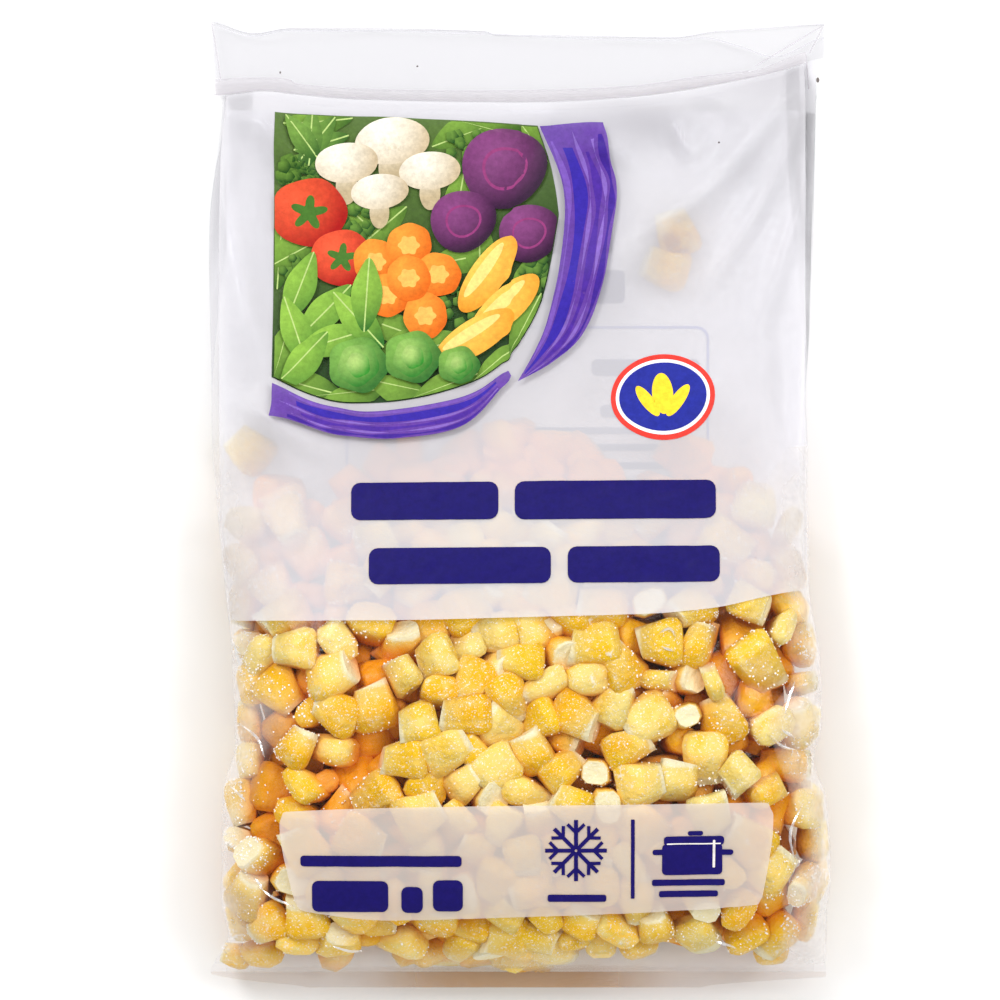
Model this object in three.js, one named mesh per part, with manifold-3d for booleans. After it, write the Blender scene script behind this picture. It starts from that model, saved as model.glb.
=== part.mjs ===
// A film bag of frozen sweetcorn, lying on its back with the printed front up.
// Millimetres, +Z up. +Y runs to the bag's top edge, and z = 0 is the back panel that it lies on.
// Loose kernels fill the lower half. The upper half is two slack layers of film, which close in
// a seal with a plain header beyond it. The bag is shut, so it is one solid.
import * as THREE from "three";
import { mergeVertices } from "three/addons/utils/BufferGeometryUtils.js";
import Module from "manifold-3d";

const BAG_LENGTH = 232.8; // from the bottom seal's edge to the header's corners
const HEADER_DIP = 3; // of the header's edge between its corners
const TOP_SEAL = 214; // where the front and back panels meet, from the bottom edge
const HEADER_LIFT = 0.8; // the header's clearance over the floor
const BOTTOM_SEAL = 4.8; // how far the bottom seal stands out from the heap
const BOTTOM_SEAL_HEIGHT = 7; // of its middle, above the floor
const SEAL_THICKNESS = 1.2; // of a sealed strip of film with its ripple
const HEAP_END = 126; // where the heap of kernels runs out under the film
const HEAP_FADE = 11; // the kernels thin out over this distance, before and after
const GUSSET_DEPTH = 9; // how far the slack side film folds in

const KERNEL = { length: 10, width: 11.5, depth: 8, sides: 4 }; // width and depth over corners
const KERNEL_PITCH = 11; // between kernels that lie side by side
const ROW_PITCH = 9.6; // between staggered rows of kernels
const KERNEL_SINK = 2.3; // the space between kernels is filled up to this far below the film
const STRAY_LIFT = 1.8; // how far a kernel between the slack layers bulges the film
const STRAY_KERNELS = [
  { along: 180, across: 38 },
  { along: 171, across: 35 },
  { along: 127, across: -62 },
];

const AROUND = 28; // points of a cross-section
const RING_PITCH = 9; // between cross-sections, where the bag's form is even
const EDGE = 0.6; // the thin outer edge of a sealed strip
const WELD = 0.05; // slivers of the joining that are thinner than this close up

// Profiles along the bag: [distance from the bottom edge, value].
const LEFT_EDGE = [
  [0, -50], [1.7, -65.5], [BOTTOM_SEAL, -73.7], [13, -69.3], [22, -70.8], [47, -70.5],
  [59, -67.5], [79, -68.3], [100, -70.3], [128, -73.2], [182, -75.6], [TOP_SEAL, -72.5],
  [BAG_LENGTH, -73.9],
];
const RIGHT_EDGE = [
  [0, 44], [1.9, 64], [BOTTOM_SEAL - 1, 74.2], [17, 74.2], [28, 75.1], [46, 74], [55, 71],
  [64, 73], [77, 72.7], [97, 70], [137, 69.8], [157, 71.5], [188, 73], [BAG_LENGTH, 74.2],
];
const FRONT = [
  [BOTTOM_SEAL, BOTTOM_SEAL_HEIGHT + 0.6], [7, 18], [12, 29], [24, 36.5], [48, 40], [74, 38.5],
  [98, 32], [122, 23.5], [148, 15], [180, 8.5], [TOP_SEAL - 3, 3.6],
  [TOP_SEAL, HEADER_LIFT + SEAL_THICKNESS],
];
const BACK = [
  [BOTTOM_SEAL, BOTTOM_SEAL_HEIGHT - 0.6], [7, 3.4], [10, 1.2], [15, 0], [TOP_SEAL - 14, 0],
  [TOP_SEAL, HEADER_LIFT],
];
// How far the top seal slants up towards the right side: [distance from the middle, rise].
const SEAL_RISE = [[0, 0], [27, 0.8], [57, 5.5], [75, 9]];

const { clamp, smoothstep, lerp } = THREE.MathUtils;

// A smooth function through the points of a profile, with no overshoot between them.
function through(points) {
  const rise = (a, b) => (b[1] - a[1]) / (b[0] - a[0]);
  const slopes = points.map((point, i) => {
    if (i === 0 || i === points.length - 1) return 0;
    const before = rise(points[i - 1], point);
    const after = rise(point, points[i + 1]);
    return before * after <= 0 ? 0 : (2 * before * after) / (before + after);
  });
  return (x) => {
    if (x <= points[0][0]) return points[0][1];
    if (x >= points.at(-1)[0]) return points.at(-1)[1];
    const i = points.findIndex((point) => point[0] > x) - 1;
    const [a, b] = [points[i], points[i + 1]];
    const span = b[0] - a[0];
    const t = (x - a[0]) / span;
    const straight = a[1] * (1 + 2 * t) * (1 - t) ** 2 + b[1] * t ** 2 * (3 - 2 * t);
    return straight + span * t * (1 - t) * (slopes[i] * (1 - t) - slopes[i + 1] * t);
  };
}

const leftEdge = through(LEFT_EDGE);
const rightEdge = through(RIGHT_EDGE);
const front = through(FRONT);
const back = through(BACK);
const sealRise = through(SEAL_RISE);

// 1 where kernels press on the film, 0 where it hangs slack.
function filled(along) {
  return 1 - smoothstep(along, HEAP_END - HEAP_FADE, HEAP_END + HEAP_FADE);
}

// A point of the film. along is the distance from the bottom edge. angle runs round the
// cross-section, from the right side (0) over the front (a quarter turn). sink lies below it.
function filmPoint(along, angle, sink = 0) {
  const sealed = along <= BOTTOM_SEAL || along >= TOP_SEAL;
  const low = along <= BOTTOM_SEAL ? BOTTOM_SEAL_HEIGHT - SEAL_THICKNESS / 2 : back(along);
  const high = sealed ? low + SEAL_THICKNESS : front(along) - sink;
  const full = filled(along);
  const side = lerp(low, high, lerp(0.5, 0.42, full));
  const across = Math.abs(Math.cos(angle));
  const upward = Math.abs(Math.sin(angle));

  // A flat back and a crowned front: a higher exponent makes a section more like a box.
  const onFront = Math.sin(angle) >= 0;
  const roundness = onFront ? 2 / lerp(3.4, 2.9, full) : 2 / 5;
  const z = onFront
    ? side + (high - side) * upward ** roundness
    : side - (side - low) * Math.min(1, 1.15 * upward ** roundness);

  // The slack side film folds inwards between the two layers.
  const folded = sealed || upward > 0.1 ? 0 : smoothstep(along, HEAP_END, TOP_SEAL);
  const left = leftEdge(along) + sink;
  const right = rightEdge(along) - sink;
  const half = (right - left) / 2;
  const out = half * across ** roundness - GUSSET_DEPTH * folded;
  const x = (left + right) / 2 + Math.sign(Math.cos(angle)) * Math.max(0, out);

  // The sections bend to the slanting seal, and the header's edge dips between its corners.
  const header = Math.max(0, along - TOP_SEAL) / (BAG_LENGTH - TOP_SEAL);
  const dip = HEADER_DIP * header * (1 - clamp(Math.abs(x) / half, 0, 1) ** 6);
  const slant = smoothstep(along, TOP_SEAL - 28, TOP_SEAL) - smoothstep(header, 0, 0.9);
  const y = along - dip + sealRise(x) * slant;
  return new THREE.Vector3(x, y - BAG_LENGTH / 2, z);
}

// The distances of the cross-sections from the bottom edge, closer where the ends turn over.
function ringPlaces() {
  const places = [EDGE, 2.4, BOTTOM_SEAL, 5.6, 7, 9, 12, 15, 19, 24];
  for (let along = 30; along < TOP_SEAL - 6; along += RING_PITCH) places.push(along);
  return [...places, TOP_SEAL - 3, TOP_SEAL - 1, TOP_SEAL, TOP_SEAL + 9, BAG_LENGTH - EDGE];
}

// The last ring of an end, where its front and back points meet in one line.
function closedRing(ring, shift) {
  return ring.map((point, i) => {
    const twin = ring[(AROUND - i) % AROUND];
    return point.clone().add(twin).multiplyScalar(0.5).add(new THREE.Vector3(0, shift, 0));
  });
}

// The bag's skin as one closed surface, sunk between the kernels that stand out of the heap.
function bagGeometry() {
  const rings = ringPlaces().map((along) => {
    const sink = KERNEL_SINK * filled(along) * smoothstep(along, BOTTOM_SEAL, 12);
    return Array.from({ length: AROUND }, (_, i) =>
      filmPoint(along, (i / AROUND) * 2 * Math.PI, sink),
    );
  });
  rings.unshift(closedRing(rings[0], -EDGE));
  rings.push(closedRing(rings.at(-1), EDGE));

  const index = [];
  for (let r = 0; r + 1 < rings.length; r += 1) {
    for (let i = 0; i < AROUND; i += 1) {
      const a = r * AROUND + i;
      const b = r * AROUND + ((i + 1) % AROUND);
      index.push(a, a + AROUND, b, b, a + AROUND, b + AROUND);
    }
  }
  return new THREE.BufferGeometry().setFromPoints(rings.flat()).setIndex(index);
}

// A cut kernel: a blunt wedge, widest below its crown and narrower at the cut end.
function kernelGeometry(size) {
  const profile = [[0, -0.5], [0.62, -0.5], [1, 0.12], [0.6, 0.5], [0, 0.5]].map(
    ([radius, height]) => new THREE.Vector2(radius, height),
  );
  const { length, width, depth, sides } = KERNEL;
  return new THREE.LatheGeometry(profile, sides, Math.PI / sides).scale(
    (width / 2) * size,
    length * size,
    (depth / 2) * size,
  );
}

// A seeded source of random numbers, so the same kernels come each time.
function seededRandom(seed) {
  let state = seed;
  return () => {
    state = (state * 1664525 + 1013904223) % 4294967296;
    return state / 4294967296;
  };
}

const random = seededRandom(7);
const between = (low, high) => lerp(low, high, random());

// A kernel turned at random, with its outermost corner at the film, or lifted out of it.
function kernelAt(along, angle, lift = 0) {
  const here = filmPoint(along, angle);
  const onward = filmPoint(along + 0.5, angle).sub(here);
  const round = filmPoint(along, angle + 0.02).sub(here);
  const outward = onward.cross(round).normalize();
  const turn = new THREE.Quaternion().setFromUnitVectors(new THREE.Vector3(0, 0, 1), outward);

  // Most kernels lie flat, and three in ten stand on end.
  const tilt = random() < 0.3 ? between(1, 1.5) : between(-0.3, 0.3);
  const pose = new THREE.Quaternion().setFromEuler(
    new THREE.Euler(tilt, between(-0.35, 0.35), between(0, 2 * Math.PI), "ZXY"),
  );
  const geometry = kernelGeometry(between(0.9, 1.08)).applyQuaternion(turn.multiply(pose));
  const corners = geometry.getAttribute("position");
  let reach = 0;
  for (let i = 0; i < corners.count; i += 1) {
    reach = Math.max(reach, new THREE.Vector3().fromBufferAttribute(corners, i).dot(outward));
  }
  here.addScaledVector(outward, between(-0.5, 0.3) + lift - reach);
  return geometry.translate(here.x, here.y, here.z);
}

// Parameters of a path that lie evenly spaced along it.
function evenSteps(path, from, to, pitch) {
  const pieces = 160;
  const lengths = [0];
  for (let i = 1; i <= pieces; i += 1) {
    const start = path(lerp(from, to, (i - 1) / pieces));
    const end = path(lerp(from, to, i / pieces));
    lengths.push(lengths.at(-1) + start.distanceTo(end));
  }
  const count = Math.max(1, Math.round(lengths.at(-1) / pitch));
  return Array.from({ length: count }, (_, k) => {
    const wanted = ((k + 0.5) / count) * lengths.at(-1);
    return lerp(from, to, lengths.findIndex((length) => length >= wanted) / pieces);
  });
}

// Kernels in staggered rows over the front and the sides of the heap, and the strays.
function looseKernels() {
  const kernels = [];
  const crownLine = (along) => filmPoint(along, Math.PI / 2);
  const rows = evenSteps(crownLine, BOTTOM_SEAL + 3.6, HEAP_END + 6, ROW_PITCH);
  rows.forEach((along, row) => {
    const section = (angle) => filmPoint(along, angle);
    const places = evenSteps(section, -0.2, Math.PI + 0.2, KERNEL_PITCH);
    const step = Math.PI / places.length;
    const stagger = row % 2 ? 0.25 : -0.25;
    places.forEach((angle) => {
      if (random() > filled(along) + 0.05) return;
      const turned = angle + (stagger + between(-0.1, 0.1)) * step;
      kernels.push(kernelAt(along + between(-1.1, 1.1), turned));
    });
  });
  for (const { along, across } of STRAY_KERNELS) {
    kernels.push(kernelAt(along, Math.acos(across / rightEdge(along)), STRAY_LIFT));
  }
  return kernels.filter((geometry) => {
    geometry.computeBoundingBox();
    return geometry.boundingBox.min.z > 0.4;
  });
}

const wasm = await Module();
wasm.setup();

// A closed geometry as a solid that can be joined.
function solidOf(geometry) {
  const bare = geometry.clone();
  bare.deleteAttribute("normal");
  bare.deleteAttribute("uv");
  const merged = mergeVertices(bare, 1e-3);
  const corners = merged.index.array;
  const triVerts = [];
  for (let i = 0; i < corners.length; i += 3) {
    const [a, b, c] = corners.slice(i, i + 3);
    if (a !== b && b !== c && c !== a) triVerts.push(a, b, c);
  }
  const vertProperties = merged.getAttribute("position").array;
  const mesh = new wasm.Mesh({ numProp: 3, vertProperties, triVerts: new Uint32Array(triVerts) });
  return new wasm.Manifold(mesh);
}

// A joined solid as a geometry with flat faces.
function geometryOf(solid) {
  const { vertProperties, triVerts, numProp } = solid.getMesh();
  const places = [];
  for (let i = 0; i < vertProperties.length; i += numProp) {
    places.push(vertProperties[i], vertProperties[i + 1], vertProperties[i + 2]);
  }
  const indexed = new THREE.BufferGeometry();
  indexed.setAttribute("position", new THREE.Float32BufferAttribute(places, 3));
  indexed.setIndex(new THREE.BufferAttribute(triVerts, 1));
  const geometry = indexed.toNonIndexed();
  geometry.computeVertexNormals();
  return geometry;
}

function cornBag() {
  const pieces = [bagGeometry(), ...looseKernels()].map(solidOf);
  const joined = wasm.Manifold.union(pieces).simplify(WELD);
  const film = new THREE.MeshStandardMaterial({ color: 0xf2cf63, roughness: 0.4, metalness: 0 });
  const mesh = new THREE.Mesh(geometryOf(joined), film);
  mesh.name = "corn_bag";
  return mesh;
}

const group = new THREE.Group();
group.add(cornBag());

export default group;
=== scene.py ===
"""A clear film bag of frozen sweetcorn that lies on its back, with the printed front up.

Lengths are millimetres until a mesh is made, which is in metres. "across" runs over the bag from
its middle to the right, and "along" from its bottom edge to the header at the top.
"""

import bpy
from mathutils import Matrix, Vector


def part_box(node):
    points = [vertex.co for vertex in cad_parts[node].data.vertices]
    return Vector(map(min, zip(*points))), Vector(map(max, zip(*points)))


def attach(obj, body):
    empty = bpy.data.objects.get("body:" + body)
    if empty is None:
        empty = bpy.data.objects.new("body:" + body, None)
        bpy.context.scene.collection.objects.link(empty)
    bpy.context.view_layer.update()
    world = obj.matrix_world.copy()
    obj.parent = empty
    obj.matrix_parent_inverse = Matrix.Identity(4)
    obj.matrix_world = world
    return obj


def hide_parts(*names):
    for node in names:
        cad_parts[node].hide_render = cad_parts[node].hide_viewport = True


bl_info = {
    "name": "Frozen Sweetcorn Bag",
    "version": (1, 0, 0),
    "blender": (4, 5, 0),
    "location": "View3D > Sidebar > Corn Bag",
    "description": "Builds a film bag of frozen sweetcorn with its print",
    "category": "Add Mesh",
}

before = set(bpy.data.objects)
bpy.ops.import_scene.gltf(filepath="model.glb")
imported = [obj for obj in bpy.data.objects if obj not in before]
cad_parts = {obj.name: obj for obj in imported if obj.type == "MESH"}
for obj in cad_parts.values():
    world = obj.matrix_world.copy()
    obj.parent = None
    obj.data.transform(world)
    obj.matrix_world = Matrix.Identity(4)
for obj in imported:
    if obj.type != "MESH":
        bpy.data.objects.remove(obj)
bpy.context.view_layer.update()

import math

import bmesh
import bpy
import numpy as np
from mathutils import Vector
from mathutils.bvhtree import BVHTree

MM = 0.001
BAG_LOW, BAG_HIGH = (np.array(corner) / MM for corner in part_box("corn_bag"))
BAG_LENGTH = BAG_HIGH[1] - BAG_LOW[1]

TOP_SEAL = 214.0
BOTTOM_SEAL = 3.4
BOTTOM_SEAL_HEIGHT = 7.0
SEAL_THICKNESS = 0.5
HEADER_LIFT = 0.8
HEAP_END = 126.0
HEAP_FADE = 11.0
GUSSET_DEPTH = 9.0
# Above this level the cross-sections bend to the wavy line of the seal.
BEND_START = 186.0

# A cross-section's own form. Pairs are for the slack and for the filled part.
SIDE_LEVELS = (0.5, 0.42)
FRONT_EXPONENTS = (3.4, 2.9)
BACK_EXPONENT = 5.0
BACK_FULLNESS = 1.15
GUSSET_REACH = 0.16

# Profiles along the bag: (along, value).
LEFT_EDGE = (
    (0, -50), (1.7, -65.5), (BOTTOM_SEAL, -73.7), (13, -69.3), (22, -70.8), (47, -70.5),
    (59, -67.5), (79, -68.3), (100, -70.3), (128, -73.2), (182, -75.6), (TOP_SEAL, -72.5),
    (BAG_LENGTH, -73.9),
)
RIGHT_EDGE = (
    (0, 44), (1.9, 64), (BOTTOM_SEAL - 1, 74.2), (17, 74.2), (28, 75.1), (46, 74), (55, 71),
    (64, 73), (77, 72.7), (97, 70), (137, 69.8), (157, 71.5), (188, 73), (BAG_LENGTH, 74.2),
)
FRONT = (
    (BOTTOM_SEAL, BOTTOM_SEAL_HEIGHT + 0.3), (5.5, 17), (11, 28.5), (24, 36.5), (48, 40),
    (74, 38.5), (98, 32), (122, 23.5), (148, 15), (180, 8.5), (TOP_SEAL - 3, 3.0),
    (TOP_SEAL, HEADER_LIFT + SEAL_THICKNESS),
)
BACK = (
    (BOTTOM_SEAL, BOTTOM_SEAL_HEIGHT - 0.3), (5.5, 3.0), (9, 1.0), (15, 0), (TOP_SEAL - 14, 0),
    (TOP_SEAL, HEADER_LIFT),
)
HEAP_TOP = ((96, 40), (116, 25), (134, 8))
# The seal's lower edge over the bag: (across, along).
SEAL_LINE = (
    (-73, 214.6), (-61, 215.8), (-53, 215), (-38, 213.8), (1, 213.1), (27, 214.3), (57, 219),
    (65, 221), (74, 223.5),
)


def through(points):
    """A smooth function through the points of a profile, with no overshoot between them."""
    xs, ys = np.array(points, dtype=float).T
    rises = np.diff(ys) / np.diff(xs)
    slopes = np.zeros_like(ys)
    before, after = rises[:-1], rises[1:]
    same = before * after > 0
    slopes[1:-1][same] = 2 * before[same] * after[same] / (before[same] + after[same])

    def curve(x):
        x = np.clip(x, xs[0], xs[-1])
        i = np.clip(np.searchsorted(xs, x, side="right") - 1, 0, len(xs) - 2)
        span = xs[i + 1] - xs[i]
        t = (x - xs[i]) / span
        straight = ys[i] * (1 + 2 * t) * (1 - t) ** 2 + ys[i + 1] * t**2 * (3 - 2 * t)
        return straight + span * t * (1 - t) * (slopes[i] * (1 - t) - slopes[i + 1] * t)

    return curve


left_edge = through(LEFT_EDGE)
right_edge = through(RIGHT_EDGE)
front_height = through(FRONT)
back_height = through(BACK)
heap_top = through(HEAP_TOP)
seal_line = through(SEAL_LINE)


def smoothstep(x, low, high):
    """0 below low, 1 above high, and a soft rise between them."""
    t = np.clip((x - low) / (high - low), 0, 1)
    return t * t * (3 - 2 * t)


def lerp(a, b, t):
    """The place between a and b at the part t of the way."""
    return a + (b - a) * t


def constant(value):
    """An edge that lies at one place all along."""
    return lambda x: np.full_like(x, value, dtype=float)


def srgb(*values):
    """A linear colour with full alpha from display values of 0 to 255."""
    scaled = np.array(values) / 255
    linear = np.where(scaled <= 0.04045, scaled / 12.92, ((scaled + 0.055) / 1.055) ** 2.4)
    return (*linear.tolist(), 1.0)


def filled(along):
    """1 where kernels press on the film, 0 where it hangs slack."""
    return 1 - smoothstep(along, HEAP_END - HEAP_FADE, HEAP_END + HEAP_FADE)


def section(along, inset=0.0):
    """The sizes of a cross-section: its middle, half width, lowest, side and highest level,
    and the exponent of its front."""
    sealed = (along <= BOTTOM_SEAL) | (along >= TOP_SEAL)
    bottom = along <= BOTTOM_SEAL
    low = np.where(bottom, BOTTOM_SEAL_HEIGHT - SEAL_THICKNESS / 2, back_height(along)) + inset
    high = np.where(sealed, low + SEAL_THICKNESS, front_height(along) - inset)
    full = filled(along)
    side = lerp(low, high, lerp(*SIDE_LEVELS, full))
    left, right = left_edge(along), right_edge(along)
    exponent = lerp(*FRONT_EXPONENTS, full)
    return (left + right) / 2, (right - left) / 2 - inset, low, side, high, exponent


def film_points(along, angle):
    """Points of the film before the kernels lift it. angle runs round the cross-section, from
    the right side (0) over the front (a quarter turn) to the left side and the back."""
    middle, half, low, side, high, exponent = section(along)
    cosine, sine = np.cos(angle), np.sin(angle)
    roundness = 2 / np.where(sine >= 0, exponent, BACK_EXPONENT)
    upward = np.abs(sine) ** roundness
    rise = (high - side) * upward
    drop = (side - low) * np.minimum(1, BACK_FULLNESS * upward)
    z = np.where(sine >= 0, side + rise, side - drop)

    # The slack side film folds inwards between the front and the back.
    slack = smoothstep(along, HEAP_END, TOP_SEAL) * (along < TOP_SEAL)
    fold = GUSSET_DEPTH * slack * np.exp(-((sine / GUSSET_REACH) ** 2))
    out = np.maximum(0, half * np.abs(cosine) ** roundness - fold)
    x = middle + np.sign(cosine) * out

    y = along + (seal_line(x) - TOP_SEAL) * smoothstep(along, BEND_START, TOP_SEAL)
    return np.stack([x, y - BAG_LENGTH / 2, z], axis=-1)


def angle_on_front(across, along):
    """The angle of the front film's point over a place of the bag."""
    middle, half, *_, exponent = section(along)
    u = np.clip((across - middle) / half, -1, 1)
    return np.arccos(np.sign(u) * np.abs(u) ** (exponent / 2))


def shown(piece, material):
    """A finished piece: it wears its material and rides on the bag."""
    piece.data.materials.append(material)
    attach(piece, "root")
    return piece


def add_object(name, data):
    """An object with its data, in the scene."""
    piece = bpy.data.objects.new(name, data)
    bpy.context.scene.collection.objects.link(piece)
    return piece


def new_piece(name, bm, smooth=True):
    """An object from a bmesh in millimetres."""
    bmesh.ops.scale(bm, vec=(MM, MM, MM), verts=bm.verts)
    mesh = bpy.data.meshes.new(name)
    bm.to_mesh(mesh)
    bm.free()
    if smooth:
        mesh.shade_smooth()
    else:
        mesh.shade_flat()
    return add_object(name, mesh)


def carry(mesh, name, values):
    """Gives each point of a mesh its own number, for the material to read."""
    mesh.attributes.new(name, "FLOAT", "POINT").data.foreach_set("value", values)


class Nodes:
    """A material's node tree, with short calls to add and link its nodes."""

    def __init__(self, name):
        self.material = bpy.data.materials.new(name)
        self.material.use_nodes = True
        self.tree = self.material.node_tree
        self.tree.nodes.clear()

    def add(self, kind, inputs=None, **settings):
        node = self.tree.nodes.new("ShaderNode" + kind)
        for key, value in settings.items():
            setattr(node, key, value)
        for key, value in (inputs or {}).items():
            if isinstance(value, bpy.types.NodeSocket):
                self.tree.links.new(value, node.inputs[key])
            else:
                node.inputs[key].default_value = value
        return node

    def math(self, operation, a, b=0.0, clamp=False):
        node = self.add("Math", {0: a, 1: b}, operation=operation, use_clamp=clamp)
        return node.outputs[0]

    def mix_colour(self, factor, a, b):
        node = self.add("Mix", {0: factor, 6: a, 7: b}, data_type="RGBA")
        return node.outputs[2]

    def noise(self, scale, detail=2.0, roughness=0.5, place=None):
        place = place or self.add("TexCoord").outputs["Object"]
        inputs = {"Vector": place, "Scale": scale, "Detail": detail, "Roughness": roughness}
        return self.add("TexNoise", inputs).outputs[0]

    def attribute(self, name, output="Fac"):
        return self.add("Attribute", attribute_name=name).outputs[output]

    def bump(self, height, strength):
        inputs = {"Height": height, "Strength": strength, "Distance": 0.0008}
        return self.add("Bump", inputs).outputs[0]

    def surface(self, inputs):
        return self.add("BsdfPrincipled", inputs).outputs[0]

    def finish(self, shader):
        self.add("OutputMaterial", {"Surface": shader})
        return self.material

    def over_clear(self, cover, shader, tint=(1, 1, 1, 1)):
        """The material: the shader by the part that covers, and clear film by the rest."""
        clear = self.add("BsdfTransparent", {"Color": tint}).outputs[0]
        return self.finish(self.add("MixShader", {0: cover, 1: clear, 2: shader}).outputs[0])


# Sweetcorn kernels

# A kernel's levels from its cut end to its crown: (height, width, depth).
KERNEL_LEVELS = (
    (-0.5, 0.62, 0.72), (-0.12, 0.83, 0.94), (0.2, 1, 1), (0.39, 0.95, 0.84), (0.48, 0.72, 0.52),
)
# Its two lowest levels taper to the cut end, whose middle is a little hollow.
TAPERED_LEVELS = 2
HOLLOW_LEVEL = -0.46
KERNEL_KINDS = ("kernels_golden", "kernels_pale", "kernels_split")
KIND_SHARES = (0.6, 0.3, 0.10)
SPLIT_SIZE = (0.9, 0.7, 0.75)

# Which of a kernel's own axes faces the film, and how often: a broad side, a narrow side, the
# crown or the cut end.
KERNEL_TURNS = (
    (((0, 1, 0), (0, 0, 1), (1, 0, 0)), 0.62),
    (((0, 0, 1), (1, 0, 0), (0, 1, 0)), 0.10),
    (((1, 0, 0), (0, 1, 0), (0, 0, 1)), 0.17),
    (((1, 0, 0), (0, -1, 0), (0, 0, -1)), 0.11),
)
# Kernels that lie apart from the heap: (across, along, height), turn, size. The last one lies
# in the corner of the foot, and the others under the white print.
STRAY_KERNELS = (
    ((38.5, 181 - BAG_LENGTH / 2, 4.2), 0.4, 1.0),
    ((36.0, 173 - BAG_LENGTH / 2, 4.2), 1.3, 1.0),
    ((-64.0, 129 - BAG_LENGTH / 2, 6.0), 0.9, 1.0),
    ((-67.4, 7.8 - BAG_LENGTH / 2, 8.6), 1.4, 0.62),
)

# How the heap is packed: the places tried, the part of a cube of the spacing that a kernel
# takes, and how often and how strongly the kernels push each other apart.
PACK_TRIES = 40000
PACK_SHARE = 0.68
PACK_ROUNDS = 70
PACK_PUSH = 0.3
# The row of kernels that fills the bag's foot, (along, height), and how far the rows at the
# sides lie from the edges.
FOOT_ROW = (7.4, 11.0)
SIDE_ROW_INSET = 4.3
# How far a kernel stays from the film and the floor, and the most that it may lie below them.
FILM_CLEARANCE = 0.3
DEEPEST_GAP = 2.4
# The depths under the film at which kernels start to lie in shade, and span to the full shade.
SHADE_START = 2.0
SHADE_SPAN = 6.5
OUT_OF_SIGHT = 10.0


def is_face(part):
    return isinstance(part, bmesh.types.BMFace)


def kernel_form(seed, taper, flat_crown=0.0):
    """The points and faces of one kernel about its middle, 1 long on Z, and whether each face is
    flat. Its crown is up and its pale cut end down."""
    rng = np.random.default_rng(seed)
    phase = rng.uniform(0, 2 * math.pi, 4)
    bm = bmesh.new()
    bmesh.ops.create_circle(bm, cap_ends=True, segments=12, radius=0.5)
    for vert in bm.verts:
        x, y = abs(vert.co.x) / 0.5, abs(vert.co.y) / 0.5
        vert.co *= (x**4 + y**4) ** (-1 / 4)
    cap = bm.faces[:][0]
    last_wide = last_deep = 1.0
    for number, (height, wide, deep) in enumerate(KERNEL_LEVELS):
        if number < TAPERED_LEVELS:
            wide = lerp(wide, 1, taper)
            deep = lerp(deep, 1, taper)
        if number > 0:
            grown = bmesh.ops.extrude_face_region(bm, geom=[cap])["geom"]
            cap = next(part for part in grown if is_face(part))
        for vert in cap.verts:
            vert.co = Vector((
                vert.co.x * wide / last_wide, vert.co.y * deep / last_deep, height))
        last_wide, last_deep = wide, deep
    cut_faces = [face for face in bm.faces if all(v.co.z < -0.49 for v in face.verts)]
    hollow = bmesh.ops.poke(bm, faces=cut_faces)["verts"]
    crown = bmesh.ops.poke(bm, faces=[cap])["verts"]
    hollow[0].co.z = HOLLOW_LEVEL
    crown[0].co.z = 0.5 - 0.1 * flat_crown
    bmesh.ops.recalc_face_normals(bm, faces=bm.faces)
    bm.normal_update()
    bm.verts.index_update()
    # Sorted, because their order differs from run to run.
    faces = sorted(
        ([vert.index for vert in face.verts], face.normal.z < -0.8) for face in bm.faces)

    slant = rng.normal(0, 0.14, 2)
    for vert in bm.verts:
        x, y, z = vert.co
        around = math.atan2(y, x)
        lump = 1 + 0.05 * math.sin(2 * around + phase[0] + 3 * z)
        lump += 0.04 * math.sin(3 * around + phase[1] - 4 * z)
        low = max(0.0, -z) * 2
        vert.co = Vector((
            x * lump + 0.1 * math.sin(phase[2]) * z * z,
            y * lump + 0.12 * math.sin(phase[3]) * z * z,
            z + (slant[0] * x + slant[1] * y) * low,
        ))
    points = np.array([vert.co[:] for vert in bm.verts])
    bm.free()
    return points, *zip(*faces)


def keep_in_heap(points, inset):
    """Moves points that lie outside the heap onto its boundary, inset below the film."""
    x, y, z = points.T
    along = np.clip(y + BAG_LENGTH / 2, BOTTOM_SEAL + 0.6 * inset, HEAP_END + 8)
    middle, half, low, side, high, exponent = section(along, inset)
    high = np.maximum(np.minimum(high, heap_top(along)), low + 1)
    side = np.minimum(side, (low + high) / 2)
    above = z >= side
    power = np.where(above, exponent, BACK_EXPONENT)
    u = (x - middle) / half
    w = np.where(above, (z - side) / (high - side), (side - z) / (side - low))
    outside = np.maximum(1, (np.abs(u) ** power + np.abs(w) ** power) ** (1 / power))
    u, w = u / outside, w / outside
    z = np.where(above, side + w * (high - side), side - w * (side - low))
    return np.stack([middle + u * half, along - BAG_LENGTH / 2, z], axis=-1)


def pushed_in(points):
    """Moves a kernel until none of its points stands out of the film."""
    foot = BOTTOM_SEAL + 0.2 - BAG_LENGTH / 2
    points = points + (0, max(0.0, foot - points[:, 1].min()), 0)
    for _ in range(6):
        shift = keep_in_heap(points, FILM_CLEARANCE) - points
        points = points + shift[np.linalg.norm(shift, axis=1).argmax()]
    return points + (0, 0, max(0.0, FILM_CLEARANCE - points[:, 2].min()))


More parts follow.
